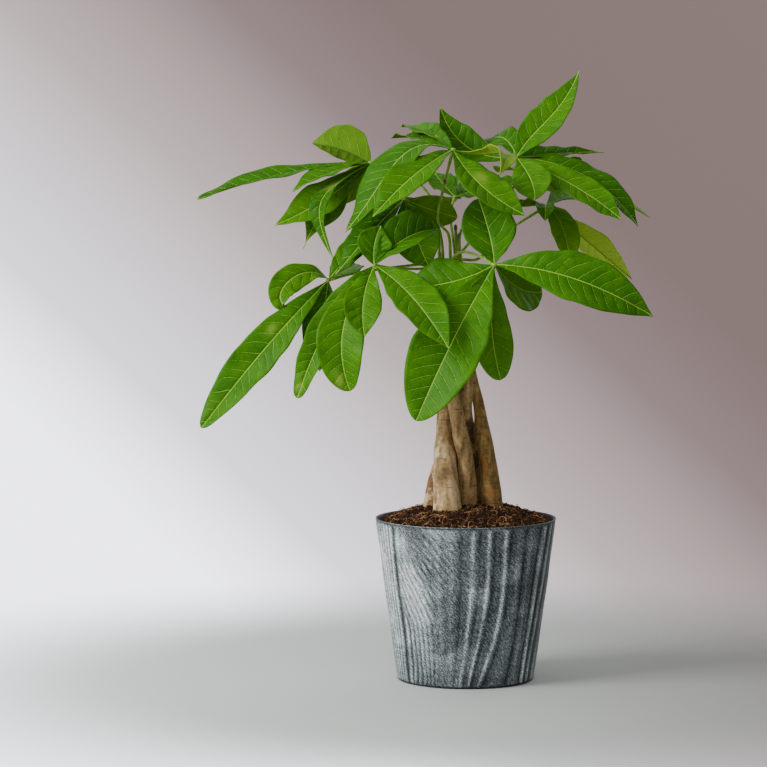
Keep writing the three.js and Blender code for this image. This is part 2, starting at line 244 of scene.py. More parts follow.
def finish_piece(
    name: str, bm: Mesh, materials: Sequence[Material], nodes: Sequence[str] = (),
    sharp_degrees: float = 180.0,
) -> Piece:
    """Makes a smooth piece of a finished mesh and ties it to the frame.

    Args:
        name: the piece's name.
        bm: its mesh, which is freed.
        materials: its materials, in slot order.
        nodes: the CAD nodes that it stands for.
        sharp_degrees: edges that bend more than this stay sharp.

    Returns:
        The new object.
    """
    for face in bm.faces:
        face.smooth = True
    piece = new_mesh(name, bm, materials)
    if sharp_degrees < 180:
        piece.data.set_sharp_from_angle(angle=math.radians(sharp_degrees))
    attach(piece, "root")
    if nodes:
        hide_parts(*nodes)
    return piece


# ---- materials ----

SMOOTH = {"interpolation_type": "SMOOTHSTEP"}
TIMES = {"operation": "MULTIPLY"}


def add_node(
    tree: bpy.types.NodeTree,
    kind: str,
    inputs: Sequence[object] | dict[str | int, object] = (),
    output: str | int = 0,
    stops: Stops = (),
    **settings: object,
) -> Socket | None:
    """Adds a shader node with its settings, values and links.

    Args:
        tree: the node tree.
        kind: the node's type, without its ShaderNode prefix.
        inputs: the inputs' values or sockets, in order or by name or number.
        output: the wanted output's name or number.
        stops: a colour ramp's places and sRGB hex colours.
        settings: the node's own properties.

    Returns:
        The wanted output, or None where the node has none.
    """
    node = tree.nodes.new("ShaderNode" + kind)
    for key, value in settings.items():
        setattr(node, key, value)
    for key, value in inputs.items() if isinstance(inputs, dict) else enumerate(inputs):
        if isinstance(value, Socket):
            tree.links.new(value, node.inputs[key])
        else:
            node.inputs[key].default_value = value
    if stops:
        elements = node.color_ramp.elements
        while len(elements) < len(stops):
            elements.new(1.0)
        for element, (place, hex_colour) in zip(elements, stops):
            element.position = place
            element.color = linear_colour(hex_colour)
    return node.outputs[output] if node.outputs else None


def layered(add: AddNode, start: float, layers: Iterable[tuple[Socket, float]]) -> Socket:
    """Adds weighted layers to a starting value.

    Args:
        add: adds nodes to the material.
        start: the value with no layer.
        layers: each layer's socket and weight.

    Returns:
        The socket of the sum.
    """
    total: Socket | float = start
    for socket, weight in layers:
        total = add("Math", [socket, weight, total], operation="MULTIPLY_ADD")
    return total


def painted(add: AddNode, skin: Socket, coats: Iterable[tuple[Socket, float, str]]) -> Socket:
    """Lays coats of colour over a skin, one after the other.

    Args:
        add: adds nodes to the material.
        skin: the colour underneath.
        coats: where each coat lies, how strong it is there and its sRGB hex colour.

    Returns:
        The socket of the painted skin.
    """
    for share, strength, hex_colour in coats:
        cover = add("Math", [share, strength], **TIMES)
        skin = add("Mix", {0: cover, 6: skin, 7: linear_colour(hex_colour)}, 2, data_type="RGBA")
    return skin


class Finish:
    """What all finishes share: a material with one shader, which the finish's own inputs feed."""

    name: str

    def inputs(self, add: AddNode) -> Inputs:
        """Works out what feeds the shader.

        Args:
            add: adds nodes to the material.

        Returns:
            What feeds the shader, by the names of its inputs.
        """
        raise NotImplementedError

    def build(self) -> Material:
        """Makes the material, named for what it really is and how its surface was made.

        Returns:
            The new material.
        """
        material = bpy.data.materials.new(self.name)
        material.use_nodes = True
        material.node_tree.nodes.clear()
        add = partial(add_node, material.node_tree)
        add("OutputMaterial", [add("BsdfPrincipled", self.inputs(add))])
        return material


@dataclass(frozen=True)
class ZincFinish(Finish):
    """Galvanised steel sheet, embossed with wood grain, brushed and worn by rubbing: dark valleys, pale worn
    crests, with painted light and shade that make it lighter on the left and darker on the right and inside
    the pot; it is also darker towards the foot.

    Real brush marks and grit are too fine to show, so both are drawn about a millimetre wide.
    """

    name: str = "galvanised steel, embossed and rubbed"
    stops: Stops = (
        (0.0, "0E1112"), (0.22, "2C3234"), (0.42, "5A6365"), (0.62, "8A9496"), (0.82, "C3CBCC"),
        (1.0, "F6F9F9"),
    )
    scratch_mm: float = 1.0
    scratch_long_mm: float = 4.5
    scratch_degrees: float = -50.0
    patina_mm: float = 22.0
    grit_mm: float = 1.1
    metallic: float = 0.4
    roughness: float = 0.34
    relief_mm: float = 0.3

    def inputs(self, add: AddNode) -> Inputs:
        """Reads the wrap UV, which is in millimetres, and the attributes of relief, worn patina and painted
        light and shade.

        Args:
            add: adds nodes to the material.

        Returns:
            What feeds the shader, by the names of its inputs.
        """
        wrap = add("UVMap", uv_map="wrap")
        turn, stroke = (0, 0, math.radians(self.scratch_degrees)), (self.scratch_long_mm, self.scratch_mm, 1)
        turned = add("Mapping", {0: wrap, 2: turn, 3: stroke}, vector_type="TEXTURE")
        brush = add("TexNoise", {"Vector": turned, "Scale": 1.0, "Detail": 2.0})
        scratch = add("MapRange", [brush, 0.36, 0.66], **SMOOTH)
        patina = add("TexNoise", {"Vector": wrap, "Scale": 1 / self.patina_mm, "Detail": 4.0})
        grains = add("TexNoise", {"Vector": wrap, "Scale": 1 / self.grit_mm, "Detail": 2.0})
        grit = add("MapRange", [grains, 0.34, 0.68], **SMOOTH)
        emboss, rub = (add("Attribute", output="Fac", attribute_name=name) for name in ("emboss", "rub"))
        flecks = add("Math", [emboss, grit], **TIMES)
        # Besides the worn patina, this mix carries painted light and shade: lighter on the left, darker on
        # the right and inside the pot.
        wear_and_painted_light = [(scratch, 0.24), (patina, 0.34), (grit, 0.28), (emboss, 0.26), (flecks, 0.16), (rub, 0.32)]
        height = layered(add, 0.0, [(scratch, 0.5), (grit, 0.4)])
        return {
            "Base Color": add("ValToRGB", [layered(add, -0.03, wear_and_painted_light)], stops=self.stops),
            "Roughness": layered(add, self.roughness, [(patina, 0.2), (scratch, 0.12)]),
            "Metallic": self.metallic,
            "Normal": add("Bump", {"Height": height, "Strength": 0.45, "Distance": self.relief_mm * MM}),
        }


@dataclass(frozen=True)
class PeatFinish(Finish):
    """Moist peat and coir crumbs: matt red-brown, nearly black in the gaps and tan on the dry grains; on the
    mound the dark gaps and pale crests are painted shade and light.
    """

    name: str = "moist peat and coir"
    stops: Stops = ((0.0, "0E0704"), (0.32, "2A180D"), (0.56, "573519"), (0.8, "8C5F36"), (1.0, "D2B084"))
    grain_mm: float = 1.7
    fine_share: float = 0.4
    lift: float = 0.0
    roughness: float = 0.9
    shine: float = 0.2
    relief_mm: float = 0.8

    def inputs(self, add: AddNode) -> Inputs:
        """Reads the tone attribute and the place on the piece.

        Args:
            add: adds nodes to the material.

        Returns:
            What feeds the shader, by the names of its inputs.
        """
        place = add("TexCoord", output="Object")
        grain = add("TexNoise", {"Vector": place, "Scale": per_mm(self.grain_mm), "Detail": 3.0})
        dust = {"Vector": place, "Scale": per_mm(self.grain_mm * self.fine_share), "Detail": 1.0}
        own = add("Attribute", output="Fac", attribute_name="tone")
        tone = layered(add, self.lift - 0.55, [(grain, 0.9), (add("TexNoise", dust), 0.35), (own, 0.62)])
        return {
            "Base Color": add("ValToRGB", [tone], stops=self.stops),
            "Roughness": self.roughness,
            "Specular IOR Level": self.shine,
            "Normal": add("Bump", {"Height": grain, "Strength": 0.7, "Distance": self.relief_mm * MM}),
        }


@dataclass(frozen=True)
class BarkFinish(Finish):
    """Young Pachira bark: smooth and tan, with pale peeling film, orange-brown scars and fine cross marks;
    some film is a painted highlight and some scar colour painted shade.
    """

    name: str
    stops: Stops
    film: str = "DCCBA6"
    film_from: float = 0.62
    scar_and_shade: str = "8A4E1C"
    scar_and_shade_from: float = 0.64
    offset: Triple = (0.0, 0.0, 0.0)
    streak_mm: float = 3.2
    patch_mm: float = 13.0
    mark_mm: float = 5.0
    dot_mm: float = 2.4
    mark: str = "4A3018"
    young: str = "6C8A2C"
    young_from: float = 0.296
    young_to: float = 0.33
    edge: float = 0.1
    roughness: float = 0.72
    shine: float = 0.35
    relief_mm: float = 0.7

    def inputs(self, add: AddNode) -> Inputs:
        """Reads the furrow attribute, the marks of peeling film and painted highlight, the marks of scars and
        painted shade, and the place.

        Args:
            add: adds nodes to the material.

        Returns:
            What feeds the shader, by the names of its inputs.
        """
        place = add("TexCoord", output="Object")
        moved = add("Mapping", [place, self.offset])
        upright = add("Mapping", {0: moved, 3: (1, 1, 0.16)})
        level = add("Mapping", {0: moved, 3: (0.35, 0.35, 2.6)})
        aside = add("Mapping", [moved, (0.3, 0.1, 0.7)])
        streak, patch, far_patch, marks, dots = (
            add("TexNoise", {"Vector": vector, "Scale": per_mm(size), "Detail": detail})
            for vector, size, detail in (
                (upright, self.streak_mm, 4.0), (moved, self.patch_mm, 5.0),
                (aside, self.patch_mm * 0.8, 4.0), (level, self.mark_mm, 2.0), (moved, self.dot_mm, 1.0),
            )
        )
        furrow, peeled, scarred = (
            add("Attribute", output="Fac", attribute_name=name) for name in ("furrow", "peeled", "scarred")
        )
        tone = layered(add, -0.52, [(streak, 0.95), (patch, 0.45), (dots, 0.5), (furrow, 0.4)])
        ragged = layered(add, -0.5, [(streak, 0.5), (dots, 0.5)])
        scar_and_shade_at = layered(add, 0.0, [(far_patch, 1.0), (scarred, 0.3), (ragged, 0.35)])
        film_at = layered(add, 0.0, [(patch, 1.0), (peeled, 0.3), (ragged, 0.5)])
        height = add("SeparateXYZ", [place], 2)
        scars, film, cross, young = (
            add("MapRange", [value, low, high], **SMOOTH)
            for value, low, high in (
                (scar_and_shade_at, self.scar_and_shade_from, self.scar_and_shade_from + self.edge),
                (film_at, self.film_from, self.film_from + self.edge),
                (marks, 0.66, 0.72), (height, self.young_from, self.young_to),
            )
        )
        # On the front trunk the film coat is partly a painted highlight, and on the rear trunk the dark scar
        # coat is painted shade.
        skin = painted(add, add("ValToRGB", [tone], stops=self.stops), [
            (scars, 0.75, self.scar_and_shade), (film, 0.75, self.film), (cross, 0.6, self.mark),
            (young, 0.85, self.young),
        ])
        relief = layered(add, 0.0, [(streak, 0.7), (dots, 0.4), (film, 0.35), (cross, -0.4)])
        return {
            "Base Color": skin,
            "Roughness": self.roughness,
            "Specular IOR Level": self.shine,
            "Normal": add("Bump", {"Height": relief, "Strength": 0.6, "Distance": self.relief_mm * MM}),
        }


class BladeSide(Enum):
    """The two sides of a leaf blade."""

    UPPER = "waxy leaf blade, upper side"
    LOWER = "matt leaf blade, lower side"


@dataclass(frozen=True)
class BladeFinish(Finish):
    """Living leaf: a waxy skin over green tissue with yellow-green ribs, paler and matt below.

    The net of the smallest veins is too fine to show, so it is drawn coarser.
    """

    side: BladeSide
    deep: str = "183C00"
    middle: str = "316800"
    fresh: str = "588E00"
    pale: str = "A9C24E"
    rib: str = "9CC44A"
    vein: str = "86B838"
    roughness: float = 0.28
    shine: float = 0.08
    rib_mm: float = 0.68
    vein_share: float = 0.052
    fade: float = 0.3
    net_mm: float = 3.0
    cloud_mm: float = 15.0
    fleck_mm: float = 2.6
    relief_mm: float = 0.4

    @property
    def name(self) -> str:
        """Returns the name of this side of the blade."""
        return self.side.value

    def inputs(self, add: AddNode) -> Inputs:
        """Works out the shader's inputs from the blade and tone attributes of a leaflet.

        The blade attribute holds millimetres across and along and the count of side veins. The tone
        attribute holds the leaflet's shade, which is partly its own tone and partly painted light and shade,
        the share of the half width and how pale it is, which includes painted sheen and light shining
        through.

        Args:
            add: adds nodes to the material.

        Returns:
            What feeds the shader, by the names of its inputs.
        """
        (across, along, count), (shade, edge, paleness_and_sheen) = (
            add("SeparateXYZ", [add("Attribute", output="Vector", attribute_name=name)]).node.outputs
            for name in ("blade", "tone")
        )
        flat = add("CombineXYZ", [across, along, add("Math", [shade, 40.0], **TIMES)])
        cloud = add("TexNoise", {"Vector": flat, "Scale": 1 / self.cloud_mm, "Detail": 3.0})
        fleck = add("TexNoise", {"Vector": flat, "Scale": 1 / self.fleck_mm, "Detail": 2.0})
        net = add("TexVoronoi", {"Vector": flat, "Scale": 1 / self.net_mm}, feature="DISTANCE_TO_EDGE")

        off_rib = add("Math", [across], operation="ABSOLUTE")
        turn = add("Math", [count, 0.5], operation="ADD")
        part = add("Math", [turn], operation="FRACT")
        off_vein = add("Math", [part, 0.5], operation="SUBTRACT")
        near_vein = add("Math", [off_vein], operation="ABSOLUTE")
        rib, line, inner, strong, mesh_lines, dip, dip_inner = (
            add("MapRange", [value, low, high], **SMOOTH)
            for value, low, high in (
                (off_rib, self.rib_mm, self.rib_mm * self.fade),
                (near_vein, self.vein_share, self.vein_share * self.fade), (edge, 1.0, 0.55),
                (fleck, 0.25, 0.5), (net, 0.1, 0.02), (near_vein, 0.16, 0.05), (edge, 1.0, 0.4),
            )
        )
        vein = add("Math", [line, inner], **TIMES)
        seen = add("Math", [vein, strong], **TIMES)
        shadow = add("Math", [dip, dip_inner], **TIMES)

        value = layered(add, -0.2, [
            (cloud, 0.6), (shade, 0.6), (fleck, 0.2), (mesh_lines, 0.05), (shadow, -0.18), (edge, 0.06),
        ])
        tissue = add("ValToRGB", [value], stops=((0.0, self.deep), (0.45, self.middle), (1.0, self.fresh)))
        # The pale coat also paints sheen patches and light shining through backlit leaflets.
        coats = [(paleness_and_sheen, 1.0, self.pale), (seen, 0.62, self.vein), (rib, 0.85, self.rib)]
        relief = layered(add, 0.0, [(rib, -0.6), (vein, -0.6), (mesh_lines, -0.3), (fleck, 0.15)])
        return {
            "Base Color": painted(add, tissue, coats),
            "Roughness": layered(add, self.roughness, [(fleck, 0.16), (cloud, 0.12)]),
            "Specular IOR Level": self.shine,
            "Subsurface Weight": 0.2,
            "Subsurface Radius": (0.5, 1.0, 0.05),
            "Subsurface Scale": 1.0 * MM,
            "Normal": add("Bump", {"Height": relief, "Strength": 0.6, "Distance": self.relief_mm * MM}),
        }


@dataclass(frozen=True)
class StalkFinish(Finish):
    """Smooth green leaf stalk, yellow-green and faintly streaked, brown at buds and knuckles."""

    name: str = "green leaf stalk, smooth"
    stops: Stops = ((0.25, "567F0C"), (0.6, "8CB42C"), (0.95, "C4DC66"))
    brown: str = "5E3B1A"
    streak_mm: float = 1.6
    roughness: float = 0.45

    def inputs(self, add: AddNode) -> Inputs:
        """Reads the tone attribute and the place on the piece.

        Args:
            add: adds nodes to the material.

        Returns:
            What feeds the shader, by the names of its inputs.
        """
        drawn_out = add("Mapping", {0: add("TexCoord", output="Object"), 3: (1, 1, 0.2)})
        streak = add("TexNoise", {"Vector": drawn_out, "Scale": per_mm(self.streak_mm), "Detail": 3.0})
        green = add("ValToRGB", [streak], stops=self.stops)
        browned = add("Attribute", output="Fac", attribute_name="tone")
        return {
            "Base Color": painted(add, green, [(browned, 1.0, self.brown)]),
            "Roughness": self.roughness,
            "Subsurface Weight": 0.15,
            "Subsurface Radius": (0.5, 1.0, 0.15),
            "Subsurface Scale": 1.0 * MM,
        }


# ---- pot ----

# A soft mark on a round surface: degrees from the front, height, half its width in degrees, half its
# height and its strength.
Mark = tuple[float, float, float, float, float]


def marked(degrees: float, z: float, marks: Iterable[Mark]) -> float:
    """Adds up how much of the marks lies at a place.

    Args:
        degrees: the angle from the front.
        z: the height, in millimetres.
        marks: the marks.

    Returns:
        The sum of their strengths there.
    """
    return sum(
        strength * bell(degrees, angle, wide) * bell(z, height, tall)
        for angle, height, wide, tall, strength in marks
    )


@dataclass
class Pot:
    """The tapered sheet pot with its embossed wood grain and thin rim."""

    height: float = 126.0
    rim_radius: float = 70.0
    base_radius: float = 53.0
    wall: float = 1.6
    floor: float = 2.0
    base_round: float = 1.2
    hem_height: float = 1.3
    hem_depth: float = 0.12
    hem_slope: float = 0.35
    lip_fall: float = 0.6
    lip_width: float = 0.9
    warp: float = 0.35
    sunk: float = 0.12
    full_relief: float = 0.45
    most_lift: float = 0.7
    segments: int = 480
    rows: int = 150
    profile_steps: int = 3600
    finish: ZincFinish = ZincFinish()
    # The grain lines at the front: degrees from the front, half the width in degrees and the height.
    grain: tuple[Triple, ...] = (
        (-88, 1.2, 0.7), (-82.5, 1.2, 0.8), (-77, 1.2, 0.8), (-72, 1.1, 0.8), (-67.5, 1.0, 0.85),
        (-63.2, 1.0, 0.85), (-59, 1.0, 0.9), (-55.6, 0.9, -0.8), (-51.5, 1.3, 0.45), (-46, 1.2, 0.2),
        (-20, 2.2, 0.2), (-11, 2.6, 0.22), (-4.5, 1.2, -0.3), (3.5, 1.6, 0.7), (8.2, 1.2, -0.3),
        (14.6, 1.2, 0.85), (18.2, 1.1, -0.35), (26, 1.4, 0.85), (29.8, 1.1, -0.35), (36, 2.2, 0.3),
        (41, 1.0, -0.45), (46, 2.0, 0.3), (54.5, 1.2, -0.45), (59.5, 2.3, 0.9), (64.5, 1.0, -0.6),
        (69, 1.8, 0.8), (73.6, 1.0, -0.3), (78, 1.6, 0.7), (83, 1.2, 0.6), (87.5, 1.2, 0.6),
    )
    # Patches of worn and dark patina, mixed with painted light and shade: the marks on the left and front
    # left are partly worn patina and partly painted light, the one far on the right is painted shade, and the
    # wide band along the foot is darker.
    rubs_and_painted_light: tuple[Mark, ...] = (
        (-50, 112, 8, 9, 0.9), (-45, 84, 8, 20, 1.0), (-38, 60, 8, 20, 0.9), (-70, 92, 13, 42, 0.7),
        (-34, 30, 9, 16, 0.5), (-24, 106, 12, 12, 0.45), (4, 80, 4, 22, 0.3), (52, 62, 6, 30, 0.25),
        (26, 36, 6, 14, 0.35), (-6, 40, 9, 24, -0.25), (36, 76, 8, 30, -0.15), (12, 5, 60, 5, -0.3),
        (70, 50, 16, 60, -0.45),
    )
    profile: list[float] = field(init=False)

    def __post_init__(self) -> None:
        """Draws the grain of the back and works out the relief for every tenth of a degree around."""
        draw = random.Random(SEED)
        lines, angle = list(self.grain), 90.0
        while angle < 271:
            lines.append((angle, draw.uniform(0.9, 1.9), draw.uniform(0.25, 0.6)))
            angle += draw.uniform(3.8, 8.5)
        self.profile = [0.0] * self.profile_steps
        for centre, width, height in lines:
            for step in range(-70, 71):
                index = round((centre * 10 + step) % self.profile_steps) % self.profile_steps
                self.profile[index] += height * bell(step / 10, 0, width)

    def radius_at(self, z: float) -> float:
        """Returns the wall's outer radius at a height."""
        return self.base_radius + (self.rim_radius - self.base_radius) * z / self.height

    def grain_angle(self, degrees: float, z: float) -> float:
        """Follows the bent grain from a place on the wall to its angle at the rim.

        Args:
            degrees: the angle from the front, from -180 to 180.
            z: the height in millimetres.

        Returns:
            The angle, in degrees, of the same grain line at the rim.
        """
        low = clamp(1 - z / 100)
        bend = 19 * low * low * bell(degrees, 12, 24)
        bend += 9 * (1 - z / self.height) * bell(degrees, 62, 16)
        x, y, _ = ring(math.radians(degrees)) * 1.3
        wander = 1.6 + 8 * smooth_step(88, 120, abs(degrees))
        return degrees + bend + wander * stray(x, y, z / 62)

    def slanted(self, degrees: float, z: float) -> float:
        """Works out the relief of the two fans of fine slanted grain at the front left.

        Args:
            degrees: the angle from the front.
            z: the height in millimetres.

        Returns:
            The relief in millimetres.
        """
        bent = degrees + 2.2 * stray(degrees / 12, z / 17, 6.6)
        arch = bent + 0.44 * max(0.0, z - 50)
        fan = smooth_step(-54, -50, degrees) * smooth_step(-22, -29, degrees) * smooth_step(108, 92, z)
        upper = bent + 0.76 * (z - 87)
        upper_fan = bell(degrees, -23, 15) * smooth_step(58, 82, z) * smooth_step(125, 118, z)
        low = 0.45 * fan * (abs(math.sin(math.pi * arch / 4.4)) - 0.6)
        return low + 0.32 * upper_fan * (abs(math.sin(math.pi * upper / 5.6)) - 0.6)

    def relief(self, degrees: float, z: float) -> float:
        """Works out how far the embossed wall stands out.

        Args:
            degrees: the angle from the front.
            z: the height in millimetres.

        Returns:
            The relief in millimetres.
        """
        spot = (self.grain_angle(degrees, z) * 10) % self.profile_steps
        index = int(spot)
        one, other = (self.profile[(index + step) % self.profile_steps] for step in (0, 1))
        worn = 0.6 + 0.5 * stray(degrees / 9, z / 26, 3.1)
        ends = smooth_step(0, 4, z) * smooth_step(self.height - 1, self.height - 4, z)
        return ((one + (other - one) * (spot - index)) * worn + self.slanted(degrees, z)) * ends

    def rubbed_and_lit(self, degrees: float, z: float) -> float:
        """Returns how far the place is lightened, by worn patina and by painted light, up to 1, and how far
        it is darkened, by dark patina and by painted shade, down to -1.
        """
        patches = smooth_step(0.1, 0.5, stray(degrees / 22, z / 18, 8.4))
        return clamp(marked(degrees, z, self.rubs_and_painted_light) + 0.45 * patches, -1.0, 1.0)

    def build(self) -> Piece:
        """Spins the pot's half outline, embosses it and unwraps it.

        Returns:
            The pot's object.
        """
        low, lip, top = self.base_round * 0.5, self.height - self.hem_height, self.height
        rim, hem, shoulder = self.rim_radius, self.rim_radius + self.hem_depth, self.height - self.lip_fall
        corners = (
            (0, 0), (self.base_radius - self.base_round, 0), (self.radius_at(low), low),
            (self.radius_at(lip), lip), (hem, lip + self.hem_slope), (hem, shoulder), (rim + 0.05, top),
            (rim - self.lip_width, top), (rim - self.wall, shoulder),
            (self.radius_at(self.floor) - self.wall, self.floor), (0, self.floor),
        )
        bm = spun(corners, self.segments, {2: self.rows, 8: 8})
        self.emboss(bm, lip)
        self.unwrap(bm)
        return finish_piece("zinc_pot", bm, [self.finish.build()], ("pot",), 40)

    def emboss(self, bm: Mesh, lip: float) -> None:
        """Raises the grain on the outer wall and notes at each place its relief and worn patina, with painted
        light and shade.

        Args:
            bm: the spun pot.
            lip: the height at which the plain rim starts, in millimetres.
        """
        emboss, rub = (bm.verts.layers.float.new(name) for name in ("emboss", "rub"))
        for vert in bm.verts:
            x, y, z = vert.co / MM
            radius = math.hypot(x, y)
            degrees = math.degrees(math.atan2(x, -y))
            inside = radius < self.radius_at(z) - 0.8
            if inside or radius < 1:
                # Painted shade: the inner wall above the floor is marked dark, as it lies in the pot's shade.
                vert[emboss] = -0.7 if inside and z > self.floor + 1 else 0.0
                continue
            lift = self.warp * stray(x / 34, y / 34, z / 30)
            if self.base_round < z < lip - 0.2:
                relief = self.relief(degrees, z)
                lift += relief - self.sunk
                # Crests are marked pale and valleys dark for the worn patina, and the wall is marked darker
                # towards the foot.
                vert[emboss] = clamp(relief / self.full_relief, -0.8, 1.1) - 0.8 * smooth_step(2.4, 1.2, z)
                vert[rub] = self.rubbed_and_lit(degrees, z)
            # The rim band is marked a little darker with a paler top edge, and the rounded foot darkest.
            elif z >= lip - 0.2:
                vert[emboss] = 0.4 if z > self.height - 0.3 else -0.2
            else:
                vert[emboss] = -1.1
            scale = (radius + min(lift, self.most_lift)) / radius
            vert.co = Vector((x * scale, y * scale, z)) * MM

    def unwrap(self, bm: Mesh) -> None:
        """Lays the wall out flat in millimetres as the wrap UV, with its one cut at the back.

        Args:
            bm: the pot's mesh.
        """
        layer = bm.loops.layers.uv.new("wrap")
        mean = (self.rim_radius + self.base_radius) / 2
        for face in bm.faces:
            centre = face.calc_center_median()
            middle = math.atan2(centre.x, -centre.y)
            flat = abs(face.normal.z) > 0.7
            for loop in face.loops:
                x, y, z = loop.vert.co
                turn = math.atan2(x, -y)
                turn -= FULL_TURN * round((turn - middle) / FULL_TURN)
                loop[layer].uv = (turn * mean, (math.hypot(x, y) if flat else z) / MM)


# ---- trunks ----


@dataclass(frozen=True)
class Trunk:
    """One braided trunk: a swelling stem with furrows, ring scars and knobs."""

    name: str
    stations: tuple[Station, ...]
    bark: BarkFinish
    peeled: tuple[Mark, ...] = ()
    scarred: tuple[Mark, ...] = ()
    sides: int = 56
    rows: int = 220
    swell: float = 0.035
    swells: float = 31.0
    furrow: float = 0.55
    lump: float = 0.5
    ridge: float = 0.16
    cap_share: float = 0.012

    @property
    def seed(self) -> float:
        """Returns the number that sets this trunk's own pattern."""
        return self.stations[0][0]

    def centre(self, share: float) -> Vector:
        """Returns the middle of the trunk at a share of its length, in millimetres."""
        return catmull([Vector(s[:3]) for s in self.stations], share)

    def radius(self, share: float) -> float:
        """Returns the trunk's plain radius at a share of its length, in millimetres."""
        plain = catmull([Vector((s[3], 0, 0)) for s in self.stations], share).x
        return plain * (1 + self.swell * math.sin(share * self.swells + self.seed))

    def roughness(self, turn: float, z: float, radius: float) -> float:
        """Works out how far the bark stands out at one place.

        Args:
            turn: the angle around the trunk, in radians.
            z: the height in millimetres.
            radius: the plain radius in millimetres.

        Returns:
            Millimetres outwards, or inwards where it is negative.
        """
        x, y, _ = ring(turn)
        rough = sum(
            weight * stray(x * size, y * size, z / tall + seed)
            for weight, size, tall, seed in (
                (self.furrow, radius / 3.4, 24, self.seed), (self.lump, 1, 17, self.seed * 3),
                (self.ridge, 0.5, 3.4, self.seed),
            )
        )
        return clamp(radius / 9, 0.35, 1.1) * rough

    def build(self) -> Piece:
        """Sweeps the bark along the trunk and marks what the bark's finish reads.

        Returns:
            The trunk's object.
        """
        bm = bmesh.new()
        furrow, peeled, scarred = (
            bm.verts.layers.float.new(name) for name in ("furrow", "peeled", "scarred")
        )

        def place(angle: float, share: float) -> Vector:
            """Finds a place on the bark.

            Args:
                angle: radians round the trunk.
                share: how far along it, from 0 to 1.

            Returns:
                The place, in metres.
            """
            centre, radius = self.centre(share), self.radius(share)
            cap = clamp(min(share, 1 - share) / self.cap_share)
            size = (radius + self.roughness(angle, centre.z, radius)) * math.sqrt(cap * (2 - cap))
            return (centre + ring(angle) * size) * MM

        low, high = self.stations[0][2], self.stations[-1][2]
        for vert in sleeve(bm, self.sides, self.rows, place):
            z = vert.co.z / MM
            share = clamp((z - low) / (high - low))
            off = vert.co / MM - self.centre(share)
            turn = math.atan2(off.y, off.x)
            front = (math.degrees(turn) + 270) % 360 - 180
            vert[furrow] = self.roughness(turn, z, self.radius(share))
            vert[peeled] = clamp(marked(front, z, self.peeled))
            vert[scarred] = clamp(marked(front, z, self.scarred))
        bmesh.ops.recalc_face_normals(bm, faces=bm.faces)
        return finish_piece(self.name.replace("trunk", "stem"), bm, [self.bark.build()], (self.name,))


